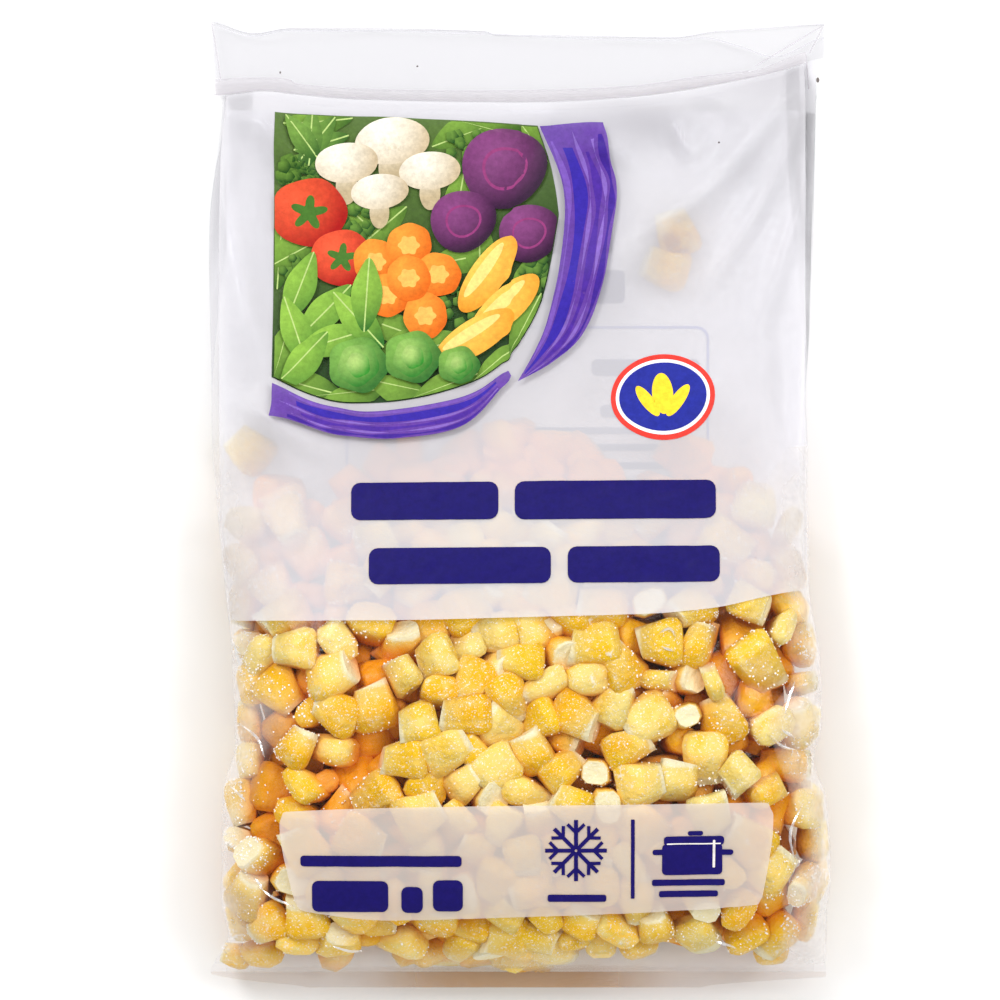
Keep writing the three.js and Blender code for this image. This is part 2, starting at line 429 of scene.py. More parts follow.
def packed_points(spacing, inset, rng):
    """Middles of kernels that fill the heap, pushed apart until they lie evenly."""
    tries = rng.uniform(BAG_LOW, BAG_HIGH, (PACK_TRIES, 3))
    inside = np.linalg.norm(keep_in_heap(tries, inset) - tries, axis=1) < 1e-6
    volume = np.prod(BAG_HIGH - BAG_LOW) * inside.mean()
    count = int(volume / (PACK_SHARE * spacing**3))
    edge = edge_rows(spacing, rng)
    points = np.concatenate([edge, tries[inside][:count]])
    for _ in range(PACK_ROUNDS):
        apart = points[:, None] - points[None]
        distance = np.linalg.norm(apart, axis=2) + 1e-6
        np.fill_diagonal(distance, 1e6)
        push = np.clip(spacing - distance, 0, None) / distance
        points = points + PACK_PUSH * (apart * push[:, :, None]).sum(axis=1)
        points = keep_in_heap(points, inset)
        points[:len(edge)] = edge
    return points


def edge_rows(spacing, rng):
    """Middles of the kernels along the foot and up both sides, so that they fill the edges."""
    across = np.arange(-67, 70, spacing * 0.97)
    along = np.arange(FOOT_ROW[0] + spacing, HEAP_END - 8, spacing)
    _, _, low, side, *_ = section(along)
    height = FOOT_ROW[1] + rng.uniform(-2.5, 2.5, len(across))
    rows = [np.stack([across, np.full_like(across, FOOT_ROW[0]), height], axis=1)]
    for edge in (left_edge(along) + SIDE_ROW_INSET, right_edge(along) - SIDE_ROW_INSET):
        height = side + rng.uniform(-3.5, 3.5, len(along))
        rows.append(np.stack([edge, along, height], axis=1))
    return np.concatenate(rows) - (0, BAG_LENGTH / 2, 0)


def turned(axis_z, spin, tilt, rng):
    """A rotation that brings Z near to an axis, spun about it and tilted by small angles."""
    z = axis_z / np.linalg.norm(axis_z)
    other = np.array([1.0, 0, 0]) if abs(z[0]) < 0.8 else np.array([0, 1.0, 0])
    x = np.cross(other, z)
    x /= np.linalg.norm(x)
    y = np.cross(z, x)
    base = np.stack([x, y, z], axis=1)
    c, s = math.cos(spin), math.sin(spin)
    spun = base @ np.array([[c, -s, 0], [s, c, 0], [0, 0, 1]])
    a, b = rng.normal(0, tilt, 2)
    c, s = math.cos(a), math.sin(a)
    lean_x = np.array([[1, 0, 0], [0, c, -s], [0, s, c]])
    c, s = math.cos(b), math.sin(b)
    lean_y = np.array([[c, 0, s], [0, 1, 0], [-s, 0, c]])
    return spun @ lean_x @ lean_y


class CORNBAG_OT_kernels(bpy.types.Operator):
    """Fill the lower half of the bag with loose kernels"""

    bl_idname = "cornbag.kernels"
    bl_label = "Kernels"

    def execute(self, context):
        sizes = context.scene.corn_bag
        rng = np.random.default_rng(sizes.seed)
        width, depth, length = (value / MM for value in sizes.kernel_size)
        spacing = sizes.kernel_spacing / MM
        middles = packed_points(spacing, depth / 2, rng)

        film = smooth_film()
        seeds = range(1, 7), range(7, 12), range(12, 15)
        forms = dict(zip(KERNEL_KINDS, (
            [kernel_form(seed, 0.15 * (seed % 3)) for seed in seeds[0]],
            [kernel_form(seed, 0.2 * (seed % 3), 0.5) for seed in seeds[1]],
            [kernel_form(seed, 0.5, 1.0) for seed in seeds[2]],
        )))
        kinds = rng.choice(KERNEL_KINDS, len(middles), p=KIND_SHARES)
        turn_shares = [share for _, share in KERNEL_TURNS]
        made = {kind: [] for kind in KERNEL_KINDS}
        for middle, kind in zip(middles, kinds):
            near, _, _, distance = film.find_nearest(Vector(middle))
            outward = np.array(near) - middle
            outward /= np.linalg.norm(outward)
            size = np.array([width, depth, length]) * rng.normal(1, 0.06)
            size *= rng.uniform(0.9, 1.1, 3)
            if kind == "kernels_split":
                size *= SPLIT_SIZE
            axes, _ = KERNEL_TURNS[rng.choice(len(KERNEL_TURNS), p=turn_shares)]
            turn = turned(outward, rng.uniform(0, 2 * math.pi), 0.25, rng) @ np.array(axes).T
            form = forms[kind][rng.integers(len(forms[kind]))]
            placed = (form[0] * size) @ turn.T
            if distance < depth:
                # The outermost kernels lie against the film, or a little below it.
                gap = DEEPEST_GAP * rng.uniform(0, 1) ** 2 * (0.25 + 0.75 * outward[2] ** 2)
                reach = (placed @ outward).max()
                middle = middle + outward * (distance - reach - gap)
            points = pushed_in(placed + middle)
            below = np.full(len(points), OUT_OF_SIGHT)
            if distance < 2 * depth:
                below = np.array([film.find_nearest(Vector(point))[3] for point in points])
            made[kind].append((points, form, np.clip((below - SHADE_START) / SHADE_SPAN, 0, 1)))
        for place, spin, scale in STRAY_KERNELS:
            form = forms["kernels_golden"][0]
            axes, _ = KERNEL_TURNS[0]
            turn = turned(np.array([0, 0, 1.0]), spin, 0.1, rng) @ np.array(axes).T
            placed = (form[0] * (width, depth, length)) @ turn.T * scale
            made["kernels_golden"].append((placed + place, form, np.zeros(len(placed))))
        for kind, kernels in made.items():
            join_kernels(kind, kernels, rng, sizes)
        return {"FINISHED"}


def join_kernels(name, kernels, rng, sizes):
    """One mesh of all the kernels of a kind. Attributes hold each one's tint, how deep it
    lies, and how far a point is from its cut end."""
    counts = [len(form[0]) for _, form, _ in kernels]
    starts = np.concatenate([[0], np.cumsum(counts)[:-1]])
    points = np.concatenate([placed for placed, _, _ in kernels]) * MM
    faces, flat = [], []
    for start, (_, (_, own, sharp), _) in zip(starts, kernels):
        faces.extend([[corner + int(start) for corner in face] for face in own])
        flat.extend(sharp)
    mesh = bpy.data.meshes.new(name)
    mesh.from_pydata(points.tolist(), [], faces)
    mesh.polygons.foreach_set("use_smooth", [not is_flat for is_flat in flat])
    shifts = np.repeat(rng.uniform(0, 90, (len(kernels), 3)), counts, axis=0)
    own = np.concatenate([form[0] for _, form, _ in kernels]) + shifts
    mesh.attributes.new("own", "FLOAT_VECTOR", "POINT").data.foreach_set("vector", own.ravel())
    values = {
        "crown": np.concatenate([form[0][:, 2] + 0.5 for _, form, _ in kernels]),
        "tint": np.repeat(rng.uniform(0, 1, len(kernels)), counts),
        "depth": np.concatenate([depth for _, _, depth in kernels]),
    }
    for key, value in values.items():
        carry(mesh, key, value)
    colours = {
        "kernels_golden": (sizes.golden_light, sizes.golden_deep, 0.4),
        "kernels_pale": (sizes.pale_light, sizes.pale_deep, 0.75),
        "kernels_split": (sizes.pale_light, sizes.golden_light, 0.75),
    }[name]
    shown(add_object(name, mesh), kernel_material(name, *colours, sizes))


def kernel_material(name, light, deep, mottle, sizes):
    """Frozen sweetcorn: waxy yellow skin with frost, a pale starchy cut end, and painted shade
    deep in the heap.
    """
    nodes = Nodes(name)
    crown, tint, depth = (nodes.attribute(key) for key in ("crown", "tint", "depth"))
    place = nodes.attribute("own", "Vector")
    long = nodes.add("Mapping", {"Vector": place, "Scale": (3.2, 3.2, 1.3)}).outputs[0]
    pale = (*sizes.pale_light, 1)

    def ranged(value, low, high, to_low, to_high):
        inputs = {0: value, 1: low, 2: high, 3: to_low, 4: to_high}
        return nodes.add("MapRange", inputs, interpolation_type="SMOOTHSTEP").outputs[0]

    # The skin: each kernel's own tint, pale streaks along it and warmer areas
    body = nodes.mix_colour(tint, (*light, 1), (*deep, 1))
    streaks = ranged(nodes.noise(1, 2, 0.55, long), 0.42, 0.66, 0.0, mottle)
    body = nodes.mix_colour(streaks, body, pale)
    glow = ranged(nodes.noise(1.7, 2, 0.5, place), 0.5, 0.7, 0.0, 0.7)
    body = nodes.mix_colour(glow, body, (*sizes.golden_light, 1))

    # A few kernels have brown spots
    spots = ranged(nodes.noise(1.4, 2, 0.6, place), 0.46, 0.62, 0.0, 1.0)
    spots = nodes.math("MULTIPLY", spots, ranged(tint, 0.965, 0.985, 0.0, 0.75))
    body = nodes.mix_colour(spots, body, (0.40, 0.15, 0.03, 1))

    # Paler towards the cut end, which is starch
    body = nodes.mix_colour(ranged(crown, 0.55, 0.1, 0.0, 0.5), body, pale)
    starch = ranged(crown, 0.13, 0.02, 0.0, 0.9)
    body = nodes.mix_colour(starch, body, (*sizes.cut_colour, 1))
    # Painted shade: kernels that lie deeper under the film darken towards the colour of the gaps
    body = nodes.mix_colour(ranged(depth, 0.0, 1.0, 0.0, 0.85), body, (*sizes.gap_colour, 1))

    # Frost on the kernels near the film
    patches = ranged(nodes.noise(300, 4, 0.75), 0.60, 0.72, 0.0, 0.8)
    grains = ranged(nodes.noise(2100, 2, 0.65), 0.585, 0.66, 0.0, 0.85)
    frost = nodes.math("MAXIMUM", patches, grains)
    frost = nodes.math("MULTIPLY", frost, ranged(depth, 0.0, 0.5, 1.0, 0.1))
    body = nodes.mix_colour(frost, body, (0.88, 0.85, 0.77, 1))
    rough = nodes.math("ADD", nodes.math("MULTIPLY", frost, 0.45), 0.30)
    dents = nodes.math("MULTIPLY", nodes.noise(0.9, 2, 0.5, long), 1.6)
    height = nodes.math("ADD", nodes.noise(700, 2, 0.6), dents)
    return nodes.finish(nodes.surface({
        "Base Color": body, "Roughness": rough, "Normal": nodes.bump(height, 0.5),
        "Specular IOR Level": 0.15,
    }))


# Film

# The film's grid: the size of its meshes across and along, how much coarser it is where the
# film lies on the floor, the first rows listed, and the last ones by their distance from the
# top seal.
FILM_COLUMN = 0.95
FILM_ROW = 0.88
COARSER_BELOW = 2.0
COARSER_BY = 3.0
FIRST_ROWS = (0.0, 0.5, 1.3, 2.3, BOTTOM_SEAL, 3.6, 4.0, 4.6, 5.4)
LAST_ROWS = (1.4, 0.7, 0.05)

# A kernel is looked for from this far outside the smooth film to this far inside it.
LOOK_OUTSIDE = 5
LOOK_INSIDE = 6
NOT_FOUND = -6.0
# The film rests this far above the kernels, and sags a little between them in each round.
FILM_GAP = 0.22
FILM_SAG = 0.012
FILM_ROUNDS = 60


def film_angles():
    """The angles of the grid's columns: fine over the front and the sides, coarse on the back."""
    fine = np.linspace(0, 2 * math.pi, 4001)
    loop = film_points(np.full_like(fine, 60.0), fine)
    steps = np.linalg.norm(np.diff(loop, axis=0), axis=1)
    steps = np.where(loop[:-1, 2] < COARSER_BELOW, steps / COARSER_BY, steps)
    length = np.concatenate([[0], np.cumsum(steps)])
    columns = int(length[-1] / FILM_COLUMN)
    return np.interp(np.linspace(0, length[-1], columns + 1), length, fine)


def film_rows():
    """Distances of the grid's rows from the bottom edge."""
    start, end = FIRST_ROWS[-1], TOP_SEAL - LAST_ROWS[0]
    body = np.linspace(start, end, int((end - start) / FILM_ROW))
    return np.concatenate([FIRST_ROWS, body[1:], [TOP_SEAL - below for below in LAST_ROWS[1:]]])


def smooth_film():
    """The film before the kernels lift it, to find distances from."""
    rows, angles = np.meshgrid(np.linspace(5, 212, 100), np.linspace(0, 2 * math.pi, 97))
    points = film_points(rows, angles)
    wide, tall = rows.shape
    corner = (np.arange(wide - 1)[:, None] * tall + np.arange(tall - 1)[None]).ravel()
    faces = np.stack([corner, corner + 1, corner + tall + 1, corner + tall], axis=1)
    return BVHTree.FromPolygons(points.reshape(-1, 3).tolist(), faces[:, ::-1].tolist())


class DrapedFilm:
    """The film's grid of points, so that print can be laid on it."""

    def __init__(self, rows, angles, points):
        self.rows, self.angles, self.points = rows, angles, points
        down = np.gradient(points, axis=0)
        round_ = np.gradient(points, axis=1)
        normals = np.cross(down, round_)
        lengths = np.linalg.norm(normals, axis=-1, keepdims=True)
        self.normals = normals / np.maximum(lengths, 1e-9)

    def on_front(self, across, along, height=0.0):
        """Points at some height over the front film."""
        true_along, shift = along, seal_line(across) - TOP_SEAL
        for _ in range(4):
            along = true_along - shift * smoothstep(along, BEND_START, TOP_SEAL)
        row = np.interp(along, self.rows, np.arange(len(self.rows)))
        angle = angle_on_front(across, along)
        column = np.interp(angle, self.angles, np.arange(len(self.angles)))
        return self.between(row, column, height)

    def between(self, row, column, height):
        """Points between the grid's own ones, at some height over the film."""
        i = np.clip(np.floor(row).astype(int), 0, len(self.rows) - 2)
        j = np.clip(np.floor(column).astype(int), 0, len(self.angles) - 2)
        s, t = (row - i)[..., None], (column - j)[..., None]

        def at(grid):
            near = grid[i, j] * (1 - t) + grid[i, j + 1] * t
            far = grid[i + 1, j] * (1 - t) + grid[i + 1, j + 1] * t
            return near * (1 - s) + far * s

        return at(self.points) + at(self.normals) * height


# The draped film and the tree of kernels, from the operators that make them to those that lay
# things on them.
draped = {}


def film_to_lay_on():
    """The draped film. Without it there is nothing to print on."""
    if "film" not in draped:
        raise RuntimeError("Drape the film before the print is laid on it")
    return draped["film"]


# Soft folds of the slack film: (across, along) of both ends, half width, height.
FOLDS = (
    ((68, 213), (16, 166), 8.0, 4.4),
    ((69, 211), (34, 182), 3.2, 2.5),
    ((70, 207), (46, 168), 3.0, 2.5),
    ((71, 200), (58, 158), 3.0, 2.2),
    ((60, 190), (28, 205), 6.5, -2.9),
    ((38, 207), (42, 197), 2.6, 2.5),
    ((42, 197), (47, 205), 2.4, 2.2),
    ((28, 199), (18, 203), 3.0, 2.0),
    ((-68, 212), (-48, 194), 4.0, 3.1),
    ((-72, 196), (-62, 150), 4.0, 2.7),
    ((-70, 170), (-52, 118), 7.0, 2.7),
    ((-66, 140), (-44, 126), 3.0, 2.0),
    ((64, 160), (67, 118), 4.0, -2.2),
    ((58, 150), (20, 128), 6.0, 2.0),
    ((10, 213), (-8, 186), 7.0, -2.0),
    ((-34, 213), (-26, 190), 6.0, 1.7),
    ((40, 213), (52, 203), 3.0, -2.0),
)


def folds(x, along):
    """How far the slack film stands out or in at its folds."""
    total = np.zeros_like(x)
    for (x0, y0), (x1, y1), wide, high in FOLDS:
        dx, dy = x1 - x0, y1 - y0
        t = np.clip(((x - x0) * dx + (along - y0) * dy) / (dx * dx + dy * dy), 0, 1)
        distance = np.hypot(x - x0 - t * dx, along - y0 - t * dy)
        total += high * np.exp(-((distance / wide) ** 2)) * np.sin(math.pi * (0.1 + 0.8 * t))
    return total


def ripples(x, along, seed, size, waves=7):
    """Smooth waves of many directions, to break up a film's evenness."""
    rng = np.random.default_rng(seed)
    total = np.zeros_like(x)
    for _ in range(waves):
        direction, phase = rng.uniform(0, 2 * math.pi, 2)
        pitch = size * rng.uniform(0.7, 1.8)
        turn = x * math.cos(direction) + along * math.sin(direction)
        total += np.sin(turn * 2 * math.pi / pitch + phase) / waves
    return total


def lifted_by_kernels(points, normals):
    """How far the kernels hold the film out of its smooth form, along its normal."""
    corners, faces, start = [], [], 0
    for name in KERNEL_KINDS:
        mesh = bpy.data.objects[name].data
        own = np.empty(len(mesh.vertices) * 3)
        mesh.vertices.foreach_get("co", own)
        corners.append(own.reshape(-1, 3) / MM)
        faces.extend([[v + start for v in polygon.vertices] for polygon in mesh.polygons])
        start += len(mesh.vertices)
    tree = BVHTree.FromPolygons(np.concatenate(corners).tolist(), faces)
    draped["kernels"] = tree
    lift = np.full(len(points), NOT_FOUND)
    for i, (point, normal) in enumerate(zip(points, normals)):
        start_at = Vector(point + normal * LOOK_OUTSIDE)
        hit, _, _, distance = tree.ray_cast(
            start_at, Vector(-normal), LOOK_OUTSIDE + LOOK_INSIDE)
        if hit is not None:
            lift[i] = LOOK_OUTSIDE - distance
    return lift


def taut_over(lift, rounds):
    """A stretched skin that rests on the highest points of what lies under it."""
    floor = lift + FILM_GAP
    skin = np.maximum(floor, -0.2)
    for _ in range(rounds):
        sides = (np.roll(skin, 1, axis=1) + np.roll(skin, -1, axis=1)) / 2
        ends = skin.copy()
        ends[1:-1] = (skin[:-2] + skin[2:]) / 2
        skin = np.maximum(floor, (sides + ends) / 2 - FILM_SAG)
    for _ in range(2):
        inner = (np.roll(skin, 1, axis=1) + np.roll(skin, -1, axis=1) + 2 * skin) / 4
        inner[1:-1] = (skin[:-2] + skin[2:] + 2 * inner[1:-1]) / 4
        skin = np.maximum(floor - 0.1, inner)
    return skin


class CORNBAG_OT_film(bpy.types.Operator):
    """Drape the clear film over the kernels"""

    bl_idname = "cornbag.film"
    bl_label = "Film"

    def execute(self, context):
        rows, angles = film_rows(), film_angles()
        along, angle = np.meshgrid(rows, angles[:-1], indexing="ij")
        smooth = film_points(along, angle)
        normals = DrapedFilm(rows, angles, np.concatenate([smooth, smooth[:, :1]], 1)).normals
        normals = normals[:, :-1]

        # Over the heap the film is stretched over the kernels
        lift = np.full(along.shape, NOT_FOUND)
        reached = (along > BOTTOM_SEAL + 0.5) & (along < HEAP_END + 20) & (smooth[..., 2] > 1.5)
        lift[reached] = lifted_by_kernels(smooth[reached], normals[reached])
        skin = taut_over(lift, FILM_ROUNDS)
        out = np.where(lift > NOT_FOUND + 1, np.maximum(skin, 0), skin)
        out = taut_over(out - FILM_GAP, 1)

        # Above it the film hangs in folds. Small ripples lie all over the front.
        x = smooth[..., 0]
        full = filled(along)
        front = smoothstep(np.sin(angle), 0.1, 0.5)
        slack = folds(x, along) + 0.5 * ripples(x, along, 3, 26) + 0.05 * ripples(x, along, 5, 8)
        out = np.clip(out, -2.2, 2.5) * full + slack * front * (1 - full)
        out += (0.1 * ripples(x, along, 8, 4.5) + 0.07 * ripples(x, along, 9, 2.6)) * front * full

        # The seals hold it in place
        free = smoothstep(along, BOTTOM_SEAL, BOTTOM_SEAL + 4) * (
            1 - smoothstep(along, TOP_SEAL - 8, TOP_SEAL)
        )
        points = smooth + normals * (out * free)[..., None]
        points[..., 2] = np.maximum(points[..., 2], 0.02)

        bm = bmesh.new()
        bmesh.ops.create_grid(bm, x_segments=len(angles) - 1, y_segments=len(rows) - 1, size=1)
        closed = np.concatenate([points, points[:, :1]], axis=1)
        for vert in bm.verts:
            i = round((vert.co.y + 1) / 2 * (len(rows) - 1))
            j = round((vert.co.x + 1) / 2 * (len(angles) - 1))
            vert.co = Vector(closed[i, j])
        bmesh.ops.remove_doubles(bm, verts=bm.verts, dist=0.001)
        bmesh.ops.recalc_face_normals(bm, faces=bm.faces)
        film = shown(new_piece("film", bm), film_material(context.scene.corn_bag))
        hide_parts("corn_bag")
        draped["film"] = DrapedFilm(rows, angles, closed)
        return {"FINISHED"}


def film_material(sizes, name="clear_film", tint=(0.985, 0.983, 0.99, 1)):
    """Clear glossy film: it shows what is behind it, and mirrors the lights at its slopes."""
    nodes = Nodes(name)
    facing = nodes.add("LayerWeight", {"Blend": 0.5}).outputs["Facing"]
    grazing = nodes.math("POWER", facing, 5.0)
    mirror = nodes.math("ADD", nodes.math("MULTIPLY", grazing, 0.7), 0.012, clamp=True)
    gloss = nodes.surface({
        "Base Color": (0.96, 0.97, 1.0, 1), "Metallic": 0.9, "Roughness": sizes.film_roughness,
        "Normal": nodes.bump(nodes.noise(210, 2, 0.55), 0.35),
    })
    return nodes.over_clear(mirror, gloss, tint)


# Header above the top seal

# Upper edges of the header's two sheets and of the seal: (across, along).
BACK_SHEET_EDGE = (
    (-75, 232.8), (-63.4, 229.7), (-54.7, 230.9), (-38.2, 230.9), (-7.7, 230.2), (-5.3, 229.4),
    (11.5, 229.2), (37.4, 228.7), (48, 230.2), (58.3, 230.9), (75, 231.9),
)
FRONT_SHEET_EDGE = (
    (-75, 232.0), (-63.4, 229.0), (-54.7, 230.3), (-38.2, 230.3), (-7.7, 229.6), (11.5, 228.6),
    (37.4, 228.0), (45, 228.6), (54, 226.4), (62, 223.9), (75, 228.6),
)
SEAL_TOP = (
    (-75, 218.0), (-62.9, 218.6), (-55.2, 218.2), (-52.3, 217.0), (-39.6, 216.0), (-23, 215.5),
    (0.7, 215.5), (27.1, 216.5), (42.7, 218.7), (55.7, 220.2), (70, 225.2), (75, 226.2),
)
# The levels between which a sheet follows the bag's side edges, and the seal's right end.
SHEET_SPAN = (216.0, 230.0)
SEAL_END = 69.6
RIM_HEIGHT = 0.28
# Folds in the header, as lines between two places, and their width.
FOLD_LINES = (
    ((-73.5, 232.0), (-71.3, 218.2)), ((73.8, 231.4), (57.5, 221.6)),
    ((70.4, 224.6), (73.6, 231.0)), ((69.5, 224.5), (70.2, 216)),
)
FOLD_LINE_WIDTH = 0.3
# Dark specks: place, size, height over the floor.
SPECKS = (
    ((72.4, 218.2), (0.4, 0.65), 3.5), ((-57, 220.0), (0.2, 0.3), 3.5),
    ((-24, 221.5), (0.25, 0.2), 3.5), ((48.5, 203), (0.25, 0.25), 8.0),
)
# A pitch wider than the bag, for print that lies level and needs no grid.
NO_GRID = 400


def sheet(name, low, high, lift, columns=150, rows=14, end=None):
    """A sheet of film between two lines over the bag. lift gives its height from the place
    across and the part of the way up."""
    bm = bmesh.new()
    bmesh.ops.create_grid(bm, x_segments=columns, y_segments=rows, size=1)
    low, high = through(low), through(high)
    for vert in bm.verts:
        u, v = (vert.co.x + 1) / 2, (vert.co.y + 1) / 2
        along = lerp(*SHEET_SPAN, v)
        x = lerp(float(left_edge(along)), end or float(right_edge(along)), u)
        y = lerp(float(low(x)), float(high(x)), v)
        vert.co = Vector((x, y - BAG_LENGTH / 2, lift(x, v)))
    return new_piece(name, bm)


class CORNBAG_OT_header(bpy.types.Operator):
    """Add the sealed strip at the top and the two loose sheets of film above it"""

    bl_idname = "cornbag.header"
    bl_label = "Header and seal"

    def execute(self, context):
        sizes = context.scene.corn_bag

        def back_lift(x, v):
            return 0.75 + v * (0.25 * math.sin(x / 7.3) - 0.35)

        def front_lift(x, v):
            waves = 0.5 * math.sin(x / 11 + 1) + 0.35 * math.sin(x / 4.7)
            return 1.35 + v * (0.9 + waves) + 0.9 * v * smoothstep(x, 40, 62)

        def crimped(x, v):
            return 1.42 + 0.05 * math.sin(v * 6 * math.pi) + 0.06 * math.sin(x / 1.1 + 4 * v)

        for name, edge, lift, tint in (
            ("header_back_sheet", BACK_SHEET_EDGE, back_lift, (0.860, 0.857, 0.868, 1)),
            ("header_front_sheet", FRONT_SHEET_EDGE, front_lift, (0.982, 0.981, 0.985, 1)),
        ):
            shown(sheet(name, SEAL_LINE, edge, lift), film_material(sizes, name, tint))
            low = tuple((x, y - RIM_HEIGHT) for x, y in edge)
            rim = sheet(
                name + "_rim", low, edge, lambda x, v, lift=lift: lift(x, 1) + 0.03, rows=1)
            shown(rim, print_material("film_edge", srgb(208, 207, 214), 0.5))

        seal = sheet("top_seal", SEAL_LINE, SEAL_TOP, crimped, 260, 8, SEAL_END)
        shown(seal, print_material("seal_film", srgb(222, 216, 221), 0.34, 0.4))

        lines = Print(level_at, NO_GRID)
        for start, end in FOLD_LINES:
            lines.field(stroke(start, end, FOLD_LINE_WIDTH), 3.3)
        low = smooth_loop(SEAL_TOP[:-2], 4, closed=False)
        lines.band(low, low + (0, 0.3), 1.75)
        low = smooth_loop(SEAL_LINE[:-1], 6, closed=False)
        lines.band(low, low + (0, 0.35), 1.8)
        fold_film = print_material("fold_line_film", srgb(196, 191, 198), 0.42)
        lines.piece("fold_lines", fold_film, "film")

        specks = Print(level_at, NO_GRID)
        for place, size, height in SPECKS:
            specks.field(ellipse(place, size, count=12), height)
        specks.piece("specks", print_material("speck", srgb(70, 50, 42), 0.85), "film")
        return {"FINISHED"}


def level_at(across, along, height):
    """Places at one height over the floor."""
    return np.stack([across, along - BAG_LENGTH / 2, np.full_like(across, height)], axis=1)


# Print

def print_material(name, colour, alpha, roughness=0.35, attribute=None):
    """Ink, white and tints on film, painted shade among them: some of what lies under it shows
    through. An attribute can thin it.
    """
    nodes = Nodes(name)
    if attribute:
        alpha = nodes.math("MULTIPLY", nodes.attribute(attribute), alpha)
    darker = (*(0.96 * part for part in colour[:3]), 1)
    ink = nodes.surface({
        "Base Color": nodes.mix_colour(nodes.noise(60, 1), colour, darker),
        "Roughness": roughness, "Specular IOR Level": 0.25,
    })
    return nodes.over_clear(alpha, ink)


def painted_material(name, alpha=0.99):
    """Ink in the colours that the mesh carries."""
    nodes = Nodes(name)
    paint = nodes.add("VertexColor", layer_name="paint").outputs["Color"]
    coat = nodes.add("MapRange", {0: nodes.noise(700, 5, 0.7), 1: 0.35, 2: 0.7, 3: 0.82, 4: 1.12})
    paint = nodes.add("VectorMath", {0: paint, "Scale": coat.outputs[0]}, operation="SCALE")
    ink = nodes.surface({
        "Base Color": paint.outputs[0], "Roughness": 0.4, "Specular IOR Level": 0.1,
    })
    return nodes.over_clear(alpha, ink)


def smooth_loop(points, steps=8, closed=True):
    """A smooth line through points, closed or open."""
    points = np.array(points, dtype=float)
    if closed:
        before, after, far = (np.roll(points, shift, axis=0) for shift in (1, -1, -2))
        starts = points
    else:
        first, last = 2 * points[0] - points[1], 2 * points[-1] - points[-2]
        ends = np.concatenate([[first], points, [last]])
        before, starts, after, far = ends[:-3], ends[1:-2], ends[2:-1], ends[3:]
    t = np.linspace(0, 1, steps, endpoint=False)[None, :, None]
    a, b, c, d = (part[:, None] for part in (before, starts, after, far))
    line = 0.5 * (2 * b + (c - a) * t + (2 * a - 5 * b + 4 * c - d) * t**2
                  + (3 * b - a - 3 * c + d) * t**3)
    line = line.reshape(-1, 2)
    return line if closed else np.concatenate([line, points[-1:]])


def ellipse(middle, radii, turn=0.0, lumps=(0, 0.0), count=40):
    """The outline of an ellipse, with a number of lumps round it."""
    angles = np.linspace(0, 2 * math.pi, count, endpoint=False)
    reach = 1 + lumps[1] * np.cos(lumps[0] * angles)
    u, v = radii[0] * np.cos(angles) * reach, radii[1] * np.sin(angles) * reach
    c, s = math.cos(turn), math.sin(turn)
    return np.stack([middle[0] + c * u - s * v, middle[1] + s * u + c * v], axis=1)


def rounded_bar(low, high, radius, slope=0.0):
    """A bar with round corners between its lowest left and highest right corner."""
    (x0, y0), (x1, y1) = low, high
    radius = min(radius, (x1 - x0) / 2, (y1 - y0) / 2)
    corners = ((x1 - radius, y1 - radius, 0), (x0 + radius, y1 - radius, 1),
               (x0 + radius, y0 + radius, 2), (x1 - radius, y0 + radius, 3))
    points = []
    steps = 4
    for x, y, quarter in corners:
        for step in range(steps + 1):
            angle = (quarter + step / steps) * math.pi / 2
            px = x + radius * math.cos(angle)
            points.append((px, y + radius * math.sin(angle) + slope * (px - x0)))
    return np.array(points)


def stroke(start, end, wide):
    """A straight line with square ends."""
    start, end = np.array(start, dtype=float), np.array(end, dtype=float)
    along = (end - start) / np.linalg.norm(end - start)
    aside = np.array([-along[1], along[0]]) * wide / 2
    return np.array([start + aside, start - aside, end - aside, end + aside])


